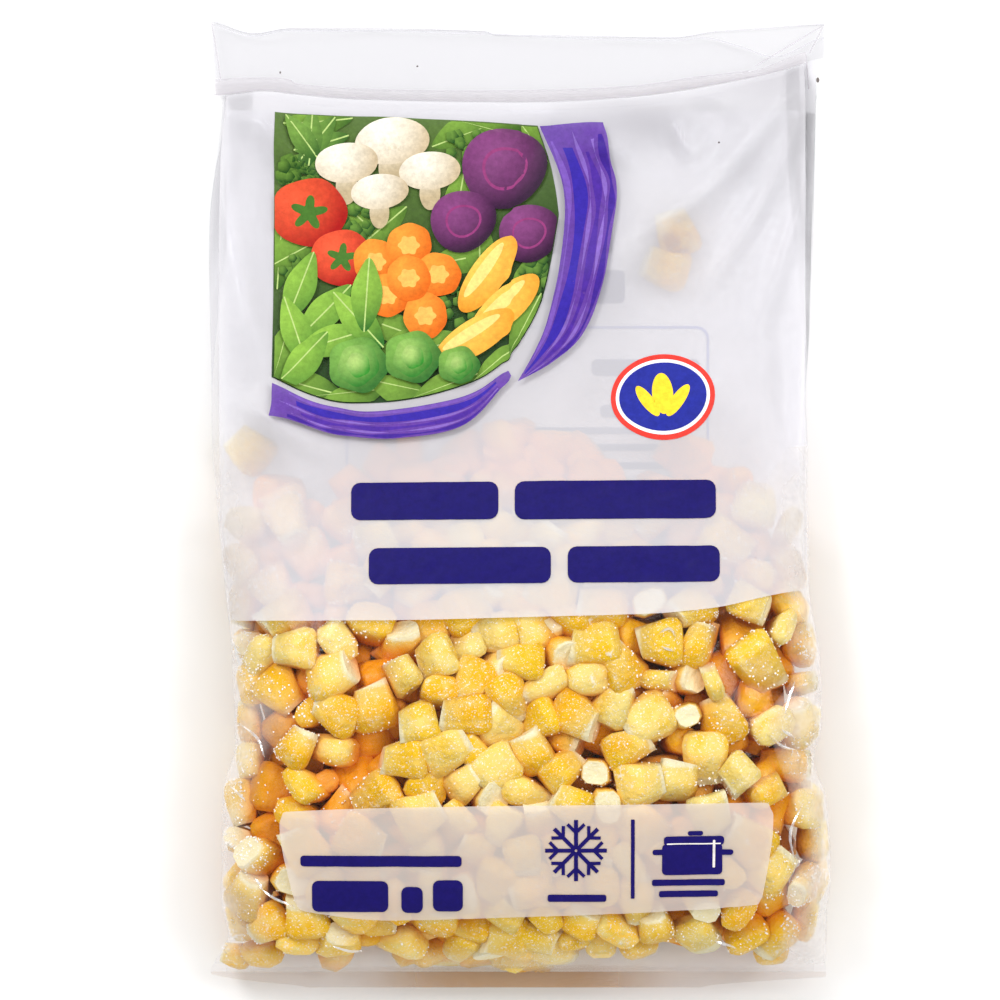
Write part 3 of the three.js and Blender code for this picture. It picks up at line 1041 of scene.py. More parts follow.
class Print:
    """Fields of ink in one piece: each is drawn flat, split by a grid and laid on the film."""

    def __init__(self, lay, pitch):
        self.bm = bmesh.new()
        self.paint = self.bm.verts.layers.float_color.new("paint")
        self.lay, self.pitch = lay, pitch

    def field(self, outline, height, colour=(1, 1, 1, 1)):
        """A field inside a closed outline."""
        corners = [self.bm.verts.new((x, y, 0)) for x, y in outline]
        self.finish([self.bm.faces.new(corners)], height, colour)

    def band(self, one_side, other_side, height, colour=(1, 1, 1, 1)):
        """A band between two lines of equally many points."""
        ones, others = (
            [self.bm.verts.new((x, y, 0)) for x, y in side] for side in (one_side, other_side))
        faces = [
            self.bm.faces.new((ones[i], ones[i + 1], others[i + 1], others[i]))
            for i in range(len(ones) - 1)]
        self.finish(faces, height, colour)

    def ring(self, outer, inner, height, colour=(1, 1, 1, 1)):
        """A band between two closed outlines of equally many points."""
        self.band(np.concatenate([outer, outer[:1]]), np.concatenate([inner, inner[:1]]), height,
                  colour)

    def finish(self, faces, height, colour):
        """Splits flat faces by the grid, lays them on the film and paints them."""
        verts = {vert for face in faces for vert in face.verts}
        geom = [*faces, *{edge for face in faces for edge in face.edges}, *verts]
        for axis in (0, 1):
            places = [vert.co[axis] for vert in verts]
            low, high = min(places) / self.pitch, max(places) / self.pitch
            for number in range(math.ceil(low), math.floor(high) + 1):
                place, normal = Vector(), Vector()
                place[axis], normal[axis] = number * self.pitch, 1
                geom = bmesh.ops.bisect_plane(
                    self.bm, geom=geom, dist=1e-4, plane_co=place, plane_no=normal)["geom"]
        faces = [part for part in geom if is_face(part)]
        verts = list({vert for face in faces for vert in face.verts})
        bmesh.ops.triangulate(self.bm, faces=faces)
        flat = np.array([vert.co[:2] for vert in verts])
        places = self.lay(flat[:, 0], flat[:, 1], height)
        colours = colour(flat) if callable(colour) else np.tile(colour, (len(flat), 1))
        for vert, place, ink in zip(verts, places, colours):
            vert.co = Vector(place)
            vert[self.paint] = ink

    def piece(self, name, material, slot):
        """The finished print, with its faces up."""
        bmesh.ops.recalc_face_normals(self.bm, faces=self.bm.faces)
        for face in self.bm.faces:
            if face.normal.z < 0:
                face.normal_flip()
        return shown(new_piece(name, self.bm), material)


# Heights over the film, in the order in which the print's layers lie on each other.
WHITE_HEIGHT = 0.04
HAZE_HEIGHT = 0.06
SHADE_HEIGHT = 0.09
LABEL_HEIGHT = 0.14
INK_HEIGHT = 0.2
LABEL_INK_HEIGHT = 0.3

# The white print: its lower edge (across, along), its sides, and how much thinner and over what
# radius it looks where a kernel presses on it.
WHITE_LOW = (
    (-71.5, 88.1), (-66.5, 88.3), (-28.1, 88.6), (0.7, 89.3), (32.4, 90.2), (45.8, 91.4),
    (69.4, 95.5),
)
WHITE_LEFT, WHITE_RIGHT = -71.3, 69.2
PRESSED_THINNER = 0.2
PRESSED_RADIUS = 5.5

# The label band's edges. Left and right: (part of the way up, across). Foot and top: (across,
# along).
LABEL_LEFT = ((0, -51.8), (0.06, -52.8), (0.9, -56.4), (1, -55.6))
LABEL_RIGHT = ((0, 57.2), (0.06, 58.2), (0.92, 60.8), (1, 59.6))
LABEL_LOW = (
    (-57, 21.6), (-52.6, 20.2), (-50, 19.3), (-31, 17.3), (-4, 18), (30, 19.2), (57, 21),
    (61, 22.4),
)
LABEL_HIGH = ((-57, 42.2), (-55, 43.1), (-20, 44.4), (30, 45), (59, 45.3), (61, 44.2))


class CORNBAG_OT_white_print(bpy.types.Operator):
    """Lay the translucent white print and the label band over the front film"""

    bl_idname = "cornbag.white_print"
    bl_label = "White print"

    def execute(self, context):
        sizes = context.scene.corn_bag
        sides = constant(WHITE_LEFT), constant(WHITE_RIGHT)
        ends = through(WHITE_LOW), lambda x: seal_line(x) - 0.2
        piece = bounded_grid("white_print", sides, ends, (170, 150), WHITE_HEIGHT)
        points = np.array([vert.co[:] for vert in piece.data.vertices]) / MM
        across, along = points[:, 0], points[:, 1] + BAG_LENGTH / 2
        cover = 1 + 0.02 * (1 - smoothstep(along, 98, 130))
        for (x, y, _), _, _ in STRAY_KERNELS[:-1]:
            away = np.hypot(across - x, along - y - BAG_LENGTH / 2) / PRESSED_RADIUS
            cover -= PRESSED_THINNER * np.exp(-away**2)
        carry(piece.data, "cover", cover)
        shown(piece, print_material(
            "white_print", (*sizes.white_colour, 1), sizes.white_cover, 0.45, "cover",
        ))

        sides = through(LABEL_LEFT), through(LABEL_RIGHT)
        ends = through(LABEL_LOW), through(LABEL_HIGH)
        shown(
            bounded_grid("label_band", sides, ends, (128, 30), LABEL_HEIGHT),
            print_material("label_print", (*sizes.label_colour, 1), sizes.label_cover, 0.3),
        )
        return {"FINISHED"}


def bounded_grid(name, sides, ends, steps, height):
    """A grid laid on the front film between a left and a right edge, a foot and a top."""
    bm = bmesh.new()
    bmesh.ops.create_grid(bm, x_segments=steps[0], y_segments=steps[1], size=1)
    u, v = (np.array([vert.co[:2] for vert in bm.verts]) / 2 + 0.5).T
    across = lerp(sides[0](v), sides[1](v), u)
    along = lerp(ends[0](across), ends[1](across), v)
    for vert, place in zip(bm.verts, film_to_lay_on().on_front(across, along, height)):
        vert.co = Vector(place)
    return new_piece(name, bm)


def shaded(middle, reach, light, dark, lean=(-0.35, 0.4)):
    """Colours that fade from a light spot near the upper left of a thing to its dark rim."""
    light, dark = np.array(light), np.array(dark)

    def colours(flat):
        away = (flat - np.array(middle)) / reach - np.array(lean)
        t = np.clip(np.linalg.norm(away, axis=1) / 1.35, 0, 1)[:, None] ** 1.4
        return light * (1 - t) + dark * t

    return colours


# The picture's outline: (across, along).
PANEL_CORNER = (-58.3, 210.2)
PANEL_ARC = (
    (5.0, 207.6), (8.0, 198.2), (9.8, 187.9), (9.6, 182.6), (6.2, 165.6), (1.2, 155.5),
    (-2.5, 150.5),
)
PANEL_FOOT = (
    (-2.5, 150.5), (-9, 146), (-18, 142.8), (-27, 140.9), (-35.5, 140.2), (-43.2, 140.4),
    (-51, 142.6), (-58.6, 145.9),
)
# How much the picture's top falls for each millimetre to the right.
PANEL_SLANT = 0.041

# Where things lie in the picture. Leaves: (across, along), turn. Others: (across, along), size.
BACK_LEAVES = (
    ((-13, 206), 0.5), ((-6, 209), 2.6), ((-37, 184), 2.4), ((-33, 182), 0.7), ((-13, 175), 0.2),
    ((-9, 177), 1.6), ((-29, 158), 2.8), ((-27, 154), 0.6), ((3, 170), 1.2), ((-3, 150), 0.7),
    ((-57, 176), 1.5), ((-54, 177), 0.4), ((5, 206), 2.0), ((-48, 208), 0.1), ((-14, 189), 1.4),
    ((-36, 160), 1.0), ((-50, 144), 2.9), ((-40, 141), 0.3), ((-28, 143), 2.8), ((-17, 144), 0.4),
    ((-5, 148), 0.9), ((-57, 151), 1.3), ((2, 159), 1.1), ((-19, 154), 0.2),
)
BROCCOLI = (
    ((-52, 195), 4.5, 40), ((-12, 201), 5, 24), ((-38, 184), 4, 16), ((5, 171), 4, 16),
    ((-13, 164), 5, 20), ((-54, 173), 2.5, 10),
)
SPRING_LEAF_TURNS = (0.3, 0.9, 1.5, 2.2)
MUSHROOMS = (((-30, 203), 8.5), ((-41, 198), 7.5), ((-21, 196), 7.0), ((-33, 191), 6.6))
BEETS = (((-3, 197), 10.5), ((-13, 184), 8.0), ((3, 181), 7.5))
TOMATOES = (((-50, 186), 9.2), ((-42, 175), 7.6))
CARROTS = ((-34, 174), (-26, 178), (-19, 171), (-31, 166), (-22, 161), (-26, 170))
PUMPKIN_WEDGES = (((-7, 171), 0.95), ((-3, 163), 0.75), ((-10, 156), 0.55))
FRONT_LEAVES = (
    ((-52, 168), 1.2), ((-46, 162), 0.8), ((-53, 157), 1.9), ((-44, 155), 0.3), ((-51, 150), 0.9),
    ((-38, 160), 2.3), ((-36, 166), 1.5),
)
CABBAGES = (((-38, 149), 7.2), ((-25, 151), 6.8), ((-14, 149), 5.0))

# The brush strokes' inner and outer edges, and the streaks in them: from and to which part of
# the way across, and the colour.
BRUSH_STROKES = (
    (((5.5, 207.6), (9.2, 199), (11.3, 191), (11.4, 182.6), (9.9, 170), (7.2, 159.4),
      (4.2, 152.2), (0.2, 145)),
     ((20.6, 207.4), (22.6, 199), (24, 191.5), (23.6, 183.5), (20.9, 169.7), (15.6, 156.5),
      (8.6, 149.8), (0.2, 145))),
    (((-58.6, 144), (-51, 140.6), (-43.2, 138.7), (-33.1, 137.8), (-12.7, 141.4), (-2.6, 147.6)),
     ((-58.6, 135.6), (-50, 133.3), (-40.6, 131.8), (-28.1, 131.3), (-12.4, 134.7),
      (-1.2, 146.4))),
)
VIOLET = srgb(98, 58, 158)
STREAKS = (
    (0.05, 0.12, srgb(120, 84, 180)), (0.2, 0.42, srgb(56, 40, 164)),
    (0.47, 0.51, srgb(130, 98, 188)), (0.58, 0.7, srgb(78, 44, 156)),
    (0.76, 0.8, srgb(134, 102, 192)), (0.86, 0.95, srgb(66, 38, 148)),
)


def panel_colours(flat):
    """A dark leafy ground that lightens to the upper left."""
    t = smoothstep(flat[:, 1] - 0.4 * flat[:, 0], 160, 215)[:, None]
    return lerp(np.array(srgb(34, 66, 24)), np.array(srgb(84, 112, 48)), t)


def inside_panel(outline):
    """Pulls an outline back to the picture's own bounds."""
    outline = np.array(outline, dtype=float)
    arc = smooth_loop(PANEL_ARC, closed=False)
    foot = smooth_loop(PANEL_FOOT, closed=False)
    right = np.interp(outline[:, 1], arc[::-1, 1], arc[::-1, 0])
    outline[:, 0] = np.clip(outline[:, 0], PANEL_CORNER[0] + 0.1, right - 0.2)
    low = np.interp(outline[:, 0], foot[::-1, 0], foot[::-1, 1])
    high = PANEL_CORNER[1] - 0.3 - (outline[:, 0] - PANEL_CORNER[0]) * PANEL_SLANT
    outline[:, 1] = np.clip(outline[:, 1], low + 0.2, high)
    return outline


class Picture(Print):
    """Vegetables drawn over each other, each a step higher than the last."""

    PITCH = 1.2
    STEP = 0.012
    BUD_STEP = 0.001
    STREAK_STEP = 0.015

    def __init__(self, lay):
        super().__init__(lay, self.PITCH)
        self.rng = np.random.default_rng(4)
        self.height = INK_HEIGHT
        arc = smooth_loop(PANEL_ARC, closed=False)
        foot = smooth_loop(PANEL_FOOT, closed=False)
        self.field(np.concatenate([[PANEL_CORNER], arc, foot[1:]]), self.height, panel_colours)
        self.height += 0.02

    def thing(self, outline, colours, step=STEP):
        self.height += step
        self.field(inside_panel(outline), self.height, colours)

    def leaf(self, middle, size, turn, light, dark):
        c, s = math.cos(turn), math.sin(turn)
        outline = ((-1, 0), (-0.55, 0.3), (0, 0.42), (0.5, 0.3), (1, 0), (0.5, -0.3), (0, -0.42),
                   (-0.55, -0.3))
        points = [(middle[0] + size * (c * u - s * v), middle[1] + size * (s * u + c * v))
                  for u, v in outline]
        base, tip = points[0], points[4]
        self.thing(smooth_loop(points, 4), shaded(middle, size, light, dark))
        self.thing(stroke(base, tip, 0.35), srgb(190, 215, 130))

    def broccoli(self, middle, size, buds):
        for _ in range(buds):
            turn, away = self.rng.uniform(0, 2 * math.pi), size * self.rng.uniform(0, 1) ** 0.5
            place = (middle[0] + away * math.cos(turn), middle[1] + away * math.sin(turn))
            bud = self.rng.uniform(0.9, 1.7)
            self.thing(ellipse(place, (bud, bud), 0, (5, 0.12), 15),
                       shaded(place, bud, srgb(112, 152, 62), srgb(32, 74, 28)), self.BUD_STEP)

    def mushroom(self, middle, size):
        stem = ellipse((middle[0], middle[1] - size * 0.75), (size * 0.36, size * 0.6))
        self.thing(stem, shaded(middle, size, srgb(245, 236, 214), srgb(196, 176, 140)))
        self.thing(ellipse(middle, (size, size * 0.68), 0.1, (2, 0.05)),
                   shaded(middle, size, srgb(252, 246, 230), srgb(205, 184, 150)))

    def beet(self, middle, size):
        body, outer, inner = (
            ellipse(middle, (size * wide, size * deep), 0.4, (3, 0.03))
            for wide, deep in ((1.0, 0.93), (0.55, 0.5), (0.48, 0.43)))
        self.thing(body, shaded(middle, size, srgb(140, 70, 130), srgb(48, 16, 52)))
        self.height += self.STEP
        self.ring(inside_panel(outer), inside_panel(inner), self.height, srgb(150, 60, 120))

    def tomato(self, middle, size):
        self.thing(ellipse(middle, (size, size * 0.9), 0.0, (5, 0.02)),
                   shaded(middle, size, srgb(245, 95, 60), srgb(170, 20, 22)))
        star = ellipse(middle, (size * 0.36, size * 0.34), 0.2, (5, 0.4), 60)
        self.thing(star, srgb(70, 120, 45))

    def carrot_slice(self, middle):
        self.thing(ellipse(middle, (5.6, 5.2), self.rng.uniform(0, 3), (7, 0.02)),
                   shaded(middle, 5.6, srgb(250, 160, 60), srgb(226, 105, 25)))
        self.thing(ellipse(middle, (2.4, 2.2), 0, (6, 0.12)), srgb(250, 190, 95))

    def pumpkin_wedge(self, middle, turn):
        self.thing(ellipse(middle, (11, 4.2), turn),
                   shaded(middle, 11, srgb(252, 205, 90), srgb(232, 140, 25)))
        flesh = ellipse((middle[0] - 1, middle[1] + 1), (8, 1.4), turn)
        self.thing(flesh, srgb(253, 222, 130))

    def cabbage(self, middle, size):
        for part, lighter in ((1.0, 0), (0.72, 1), (0.42, 2)):
            light = srgb(130 + 25 * lighter, 180 + 15 * lighter, 80 + 20 * lighter)
            self.thing(ellipse(middle, (size * part, size * part * 0.92), lighter, (5, 0.05)),
                       shaded(middle, size * part, light, srgb(52, 110 + 15 * lighter, 45)))

    def brush_stroke(self, inner, outer):
        """A violet stroke with wavy streaks along it."""
        inner, outer = (smooth_loop(edge, 10, closed=False) for edge in (inner, outer))
        self.height += self.STEP
        self.band(inner, outer, self.height, VIOLET)
        self.height += self.STREAK_STEP
        for low, high, colour in STREAKS:
            wave = 0.025 * np.sin(np.linspace(30 * low, 12 + 50 * low, len(inner)))[:, None]
            ends = slice(2 + int(60 * low) % 7, -3)
            self.band(lerp(inner, outer, low + wave)[ends], lerp(inner, outer, high - wave)[ends],
                      self.height, colour)


class CORNBAG_OT_picture(bpy.types.Operator):
    """Print a picture of vegetables with a violet brush stroke round it"""

    bl_idname = "cornbag.picture"
    bl_label = "Picture"

    def execute(self, context):
        picture = Picture(film_to_lay_on().on_front)
        for middle, turn in BACK_LEAVES:
            picture.leaf(middle, 8.5, turn, srgb(128, 168, 66), srgb(58, 98, 34))
        for middle, size, buds in BROCCOLI:
            picture.broccoli(middle, size, buds)
        for turn in SPRING_LEAF_TURNS:
            middle = (-50 + 3 * math.cos(turn), 202 + 2 * math.sin(turn))
            picture.leaf(middle, 7, turn, srgb(120, 160, 70), srgb(45, 90, 35))
        for draw, places in (
            (picture.mushroom, MUSHROOMS), (picture.beet, BEETS), (picture.tomato, TOMATOES),
        ):
            for middle, size in places:
                draw(middle, size)
        for middle in CARROTS:
            picture.carrot_slice(middle)
        for middle, turn in PUMPKIN_WEDGES:
            picture.pumpkin_wedge(middle, turn)
        for middle, turn in FRONT_LEAVES:
            picture.leaf(middle, 9, turn, srgb(150, 195, 75), srgb(50, 110, 40))
        for middle, size in CABBAGES:
            picture.cabbage(middle, size)
        for inner, outer in BRUSH_STROKES:
            picture.brush_stroke(inner, outer)
        picture.piece("picture", painted_material("picture_inks", 0.9), "ink")
        return {"FINISHED"}


NAVY = srgb(24, 16, 98)
YELLOW = srgb(250, 214, 50)

# The large bars, and the label's bars: lowest left and highest right corner, and for the label
# the corners' radius and the slope.
LARGE_BARS = (
    ((-39.6, 112.2), (-4.5, 121.2)), ((-0.5, 112.4), (47.4, 121.6)),
    ((-35.3, 97.0), (8.0, 105.6)), ((12.0, 97.4), (48.2, 106.0)),
)
LABEL_BARS = (
    ((-51.4, 30.2), (-13.2, 32.8), 0.8, 0), ((-48.7, 19.4), (-30.6, 26.8), 1.5, 0),
    ((-27.5, 19.2), (-22.4, 25.4), 1.5, 0), ((-20, 19.6), (-12.9, 27), 1.5, 0),
    ((7.2, 21.9), (21.1, 23.6), 0.5, 0), ((26.9, 22.6), (27.8, 41.5), 0.2, 0),
    ((31.9, 25.6), (49.2, 27.1), 0.5, 0.01), ((33.6, 22.9), (47.6, 24.4), 0.5, 0.01),
)

# The badge's middle and turn, and its rings: radii, height, colour.
BADGE = (34.8, 141.6)
BADGE_TURN = 0.08
BADGE_RINGS = (
    ((12.4, 10.4), 0.16, srgb(228, 62, 52)), ((11.2, 9.2), 0.2, srgb(248, 248, 250)),
    ((10.4, 8.4), 0.24, srgb(38, 46, 150)),
)
BADGE_LEAF_HEIGHT = 0.28

# The snowflake: middle, arms, and each arm's and twig's length and width.
SNOWFLAKE = (13.9, 34.1)
SNOWFLAKE_ARMS = 8
ARM = (7.3, 0.95)
TWIG = (2.8, 0.8)

# The pot: corners, radius, height over the label's ink, and colour of its body, lid, knob, two
# lines of light and two handles.
POT_SLOPE = 0.012
POT_LIGHT = srgb(238, 232, 228)
POT_PARTS = (
    ((34.3, 28.2), (48.6, 35.6), 1.0, 0.0, NAVY), ((34.7, 35.2), (49.0, 37.4), 0.8, 0.03, NAVY),
    ((40.4, 37.6), (44.0, 38.7), 0.5, 0.0, NAVY),
    ((35.4, 35.45), (48.2, 35.75), 0.1, 0.08, POT_LIGHT),
    ((46.3, 30.0), (46.9, 36.6), 0.2, 0.08, POT_LIGHT),
    ((32.0, 33.0), (35.0, 34.3), 0.6, 0.03, NAVY), ((48.0, 33.0), (51.2, 34.3), 0.6, 0.03, NAVY),
)

# The back film's own print: the heights of its white and its inks over the floor, and its bars.
BACK_WHITE_HEIGHT = 0.9
BACK_INK_HEIGHT = 1.2
BACK_BARS = (
    ((-36, 176.5), (23, 184.5)), ((-36, 164.5), (26, 172.5)), ((18, 147), (44, 151)),
    ((20, 137), (41, 140)), ((-6, 133), (41, 134.6)), ((-6, 129), (41, 130.6)),
    ((8, 124.6), (41, 126.2)),
)


class CORNBAG_OT_inks(bpy.types.Operator):
    """Print the badge, the plain bars, the label's pictograms and the back film's print"""

    bl_idname = "cornbag.inks"
    bl_label = "Inks"

    def execute(self, context):
        inks = Print(film_to_lay_on().on_front, 0.95)
        for low, high in LARGE_BARS:
            inks.field(rounded_bar(low, high, 2.2, 0.008), INK_HEIGHT, NAVY)
        self.badge(inks)
        self.label(inks)
        inks.piece("inks", painted_material("inks"), "ink")
        self.back()
        return {"FINISHED"}

    def badge(self, inks):
        """A round badge with three leaves."""
        for radii, height, colour in BADGE_RINGS:
            inks.field(ellipse(BADGE, radii, BADGE_TURN, count=64), height, colour)
        x, y = BADGE
        leaves = [ellipse((x, y + 0.6), (2.5, 5.2), BADGE_TURN, count=32)]
        for side in (-1, 1):
            leaves.append(ellipse((x + side * 3.6, y - 1.2), (1.5, 4.6), -side * 0.6, count=32))
        for leaf in leaves:
            inks.field(leaf, BADGE_LEAF_HEIGHT, YELLOW)

    def label(self, inks):
        """Bars, a snowflake and a pot on the label band."""
        high = LABEL_INK_HEIGHT
        for low, top, radius, slope in LABEL_BARS:
            inks.field(rounded_bar(low, top, radius, slope), high, NAVY)

        centre = np.array(SNOWFLAKE)
        for arm in range(SNOWFLAKE_ARMS):
            angle = arm * 2 * math.pi / SNOWFLAKE_ARMS
            out = np.array((math.cos(angle), math.sin(angle)))
            inks.field(stroke(centre + out * 0.3, centre + out * ARM[0], ARM[1]), high, NAVY)
            for side in (-1, 1):
                twig = np.array((math.cos(angle + side * 0.8), math.sin(angle + side * 0.8)))
                foot = centre + out * 4.3
                inks.field(stroke(foot, foot + twig * TWIG[0], TWIG[1]), high + 0.03, NAVY)

        for low, top, radius, step, colour in POT_PARTS:
            inks.field(rounded_bar(low, top, radius, POT_SLOPE), high + step, colour)

    def back(self):
        """The back film's own print, seen faintly through the white."""
        back = Print(level_at, NO_GRID)
        white = rounded_bar((-70, 97), (68, 211), 1)
        back.field(white, BACK_WHITE_HEIGHT, srgb(240, 240, 245))
        tinted = rounded_bar((-32.9, 193.9), (-13, 205.2), 2)
        back.field(tinted, BACK_INK_HEIGHT, srgb(60, 110, 120))
        for low, top in BACK_BARS:
            back.field(rounded_bar(low, top, 1.2), BACK_INK_HEIGHT, NAVY)
        outer = rounded_bar((-41.3, 118), (46.3, 159), 3)
        inner = rounded_bar((-40.7, 118.6), (45.7, 158.4), 2.5)
        back.ring(outer, inner, BACK_INK_HEIGHT, srgb(70, 90, 190))
        back.piece("back_print", painted_material("back_inks", 0.8), "white_print")


# Milky film, painted shade, creases and the foot seal

# The milky strips' ends along the bag, and the strip at the foot's start.
HAZE_START = 6
HAZE_END = 130
FOOT_HAZE_START = 3.8
# The patch of painted shade in the film's folds, (left, right) and (foot, top), and the ends of
# the strip of painted shade at the right side.
FOLD_PATCH = ((8, 68), (185, 212))
SIDE_STRIP = (128, 210)
CREASE_WIDTH = 0.36
CREASE_HEIGHTS = (0.05, 0.4, 0.05)
# How much the foot seal's painted shade covers at its ends, beside its darker middle.
CLEAR_END = 0.2


def faded_patch(name, sides, ends, steps, fade, height=HAZE_HEIGHT):
    """A patch over the front film whose material reads its fade attribute: clouded film where
    several layers lie on each other, and painted shade in the folds and at the side.
    """
    piece = bounded_grid(name, sides, ends, steps, height)
    u, v = np.meshgrid(np.linspace(0, 1, steps[0] + 1), np.linspace(0, 1, steps[1] + 1))
    carry(piece.data, "fade", fade(u.ravel(), v.ravel()))
    return piece


def haze_material(sizes):
    """Milky film with fine frost on its inner side."""
    nodes = Nodes("hazy_film")
    clouds = nodes.add("MapRange", {0: nodes.noise(90, 3, 0.65), 1: 0.3, 2: 0.75, 3: 0.15, 4: 1.0})
    cover = nodes.math("MULTIPLY", nodes.attribute("fade"), clouds.outputs[0])
    cover = nodes.math("MULTIPLY", cover, sizes.haze, clamp=True)
    milk = nodes.surface({"Base Color": (0.86, 0.82, 0.79, 1), "Roughness": 0.3})
    return nodes.over_clear(cover, milk)


def crease_material():
    """Bright glossy film that shows in patches."""
    nodes = Nodes("crease_film")
    gloss = nodes.surface({
        "Base Color": nodes.mix_colour(nodes.noise(900), (0.93, 0.94, 0.97, 1), (1, 1, 1, 1)),
        "Metallic": 0.9, "Roughness": 0.12,
    })
    return nodes.over_clear(nodes.math("MULTIPLY", nodes.noise(420, 2), 1.2, clamp=True), gloss)


# Sharp creases of the film over the kernels, as lines of (across, along).
CREASES = (
    ((-61.5, 25), (-57.5, 22.2), (-53, 20.6)),
    ((-62.5, 27.2), (-60.5, 24.4)),
    ((32.5, 84.6), (36.2, 86.6), (38.2, 83.2)),
    ((34.0, 82.4), (37.5, 81.2)),
    ((59, 61.8), (63, 58.6), (67.2, 57.4)),
    ((62, 63), (66.4, 60.4)),
    ((-66.5, 64), (-62, 60.5), (-60, 56)),
    ((-68.5, 49), (-64.5, 45.5)),
    ((66, 74), (63.5, 66)),
    ((68, 45), (65, 38), (66, 31)),
    ((-68, 84), (-65.5, 76)),
    ((-44, 11), (-40, 9.6), (-37, 9.8)),
    ((47, 12), (52, 10.4)),
)


class CORNBAG_OT_film_details(bpy.types.Operator):
    """Add clouded film, painted shade in the folds and at the side, sharp creases and the seal at
    the foot
    """

    bl_idname = "cornbag.film_details"
    bl_label = "Film details"

    def execute(self, context):
        self.haze(haze_material(context.scene.corn_bag))
        # Painted shade: a grey tint in the film's folds and along its right side
        self.shades(print_material("painted_shade_film", srgb(146, 141, 148), 0.26, 0.4, "fade"))
        self.creases(film_to_lay_on())
        self.foot_seal()
        return {"FINISHED"}

    def haze(self, veil):
        """Milky strips along both sides and the foot."""
        def outer(v, edge, side):
            return edge(lerp(HAZE_START, HAZE_END, v)) + side * 0.3

        def inner(v, edge, side):
            wide = 9.5 + 3.0 * np.sin(v * 17) + 1.6 * np.sin(v * 41 + 1)
            return edge(lerp(HAZE_START, HAZE_END, v)) + side * wide

        ends = constant(HAZE_START), constant(HAZE_END)
        left = lambda v: outer(v, left_edge, 1), lambda v: inner(v, left_edge, 1)
        right = lambda v: inner(v, right_edge, -1), lambda v: outer(v, right_edge, -1)
        shown(faded_patch("haze_left", left, ends, (16, 130), lambda u, v: 1 - u**1.5), veil)
        shown(faded_patch("haze_right", right, ends, (16, 130), lambda u, v: 1.3 * u**0.6), veil)

        sides = constant(left_edge(HAZE_START) + 3), constant(right_edge(HAZE_START) - 3)
        ends = constant(FOOT_HAZE_START), lambda x: (
            13 + 3 * np.sin(x / 9) + 1.5 * np.sin(x / 3.7))
        shown(faded_patch("haze_foot", sides, ends, (140, 14), lambda u, v: 0.6 * (1 - v) ** 3), veil)

    def shades(self, grey):
        """Painted shade: grey in the folds under the top seal and along the right side."""
        def in_folds(u, v):
            x, along = lerp(*FOLD_PATCH[0], u), lerp(*FOLD_PATCH[1], v)
            hollow = np.exp(-((x - 30) / 13) ** 2 - ((along - 206 + 0.1 * (x - 30)) / 5.5) ** 2)
            return 0.62 * hollow + 0.4 * np.exp(-((x - 62) / 12) ** 2 - ((along - 212) / 7) ** 2)

        def at_side(u, v):
            return np.sin(math.pi * v) * (0.4 + 0.3 * np.sin(v * 23))

        sides = constant(FOLD_PATCH[0][0]), constant(FOLD_PATCH[0][1])
        ends = constant(FOLD_PATCH[1][0]), lambda x: seal_line(x) - 0.5
        shown(faded_patch("fold_shade", sides, ends, (70, 40), in_folds, SHADE_HEIGHT), grey)
        sides = constant(WHITE_RIGHT + 0.2), lambda v: right_edge(lerp(*SIDE_STRIP, v)) - 0.2
        ends = constant(SIDE_STRIP[0]), constant(SIDE_STRIP[1])
        shown(faded_patch("side_shade", sides, ends, (6, 90), at_side), grey)

    def creases(self, film):
        """Narrow ridges of film that taper at both ends."""
        bm = bmesh.new()
        for line in CREASES:
            line = smooth_loop(line, 7, closed=False)
            way = np.gradient(line, axis=0)
            way /= np.linalg.norm(way, axis=1, keepdims=True)
            wide = CREASE_WIDTH * np.sin(np.linspace(0.1, math.pi - 0.1, len(line)))[:, None]
            aside = np.stack([-way[:, 1], way[:, 0]], axis=1) * wide
            rows = [
                [bm.verts.new(point) for point in film.on_front(*place.T, height)]
                for place, height in zip((line + aside, line, line - aside), CREASE_HEIGHTS)]
            for near, far in zip(rows, rows[1:]):
                for i in range(len(line) - 1):
                    bm.faces.new((near[i], far[i], far[i + 1], near[i + 1]))
        shown(new_piece("film_creases", bm, smooth=False), crease_material())

    def foot_seal(self):
        """The crimped strip at the foot, with painted shade: a brown tint for the kernels in shade
        under it, strongest in the middle and clear at its ends.
        """
        bm = bmesh.new()
        bmesh.ops.create_grid(bm, x_segments=220, y_segments=6, size=1)
        for vert in bm.verts:
            u, v = vert.co.x / 2 + 0.5, vert.co.y / 2 + 0.5
            along = lerp(0.0, BOTTOM_SEAL + 0.4, v)
            x = lerp(float(left_edge(along)), float(right_edge(along)), u)
            crimp = 0.1 * math.sin(x / 0.9 + 3 * v) + 0.25 * math.sin(x / 13)
            height = BOTTOM_SEAL_HEIGHT + 0.45 + crimp * (1 - v)
            vert.co = Vector((x, along - BAG_LENGTH / 2, height))
        half = float(right_edge(0) - left_edge(0)) / 2
        veil = [float(smoothstep(half - abs(vert.co.x), 4, 34)) for vert in bm.verts]
        foot = new_piece("foot_seal", bm)
        carry(foot.data, "cover", [CLEAR_END + (1 - CLEAR_END) * part for part in veil])
        # Painted shade: a brown tint for the kernels and the bag's underside in shade at the foot
        shown(foot, print_material("foot_seal_painted_shade", srgb(180, 136, 86), 0.74, 0.3, "cover"))


# The part of the grains' angles that lies on the front, how far under the film they start, and
# how near to a kernel they have to be.
ICE_ON_FRONT = 0.8
ICE_BELOW = 1.2
ICE_REACH = 3


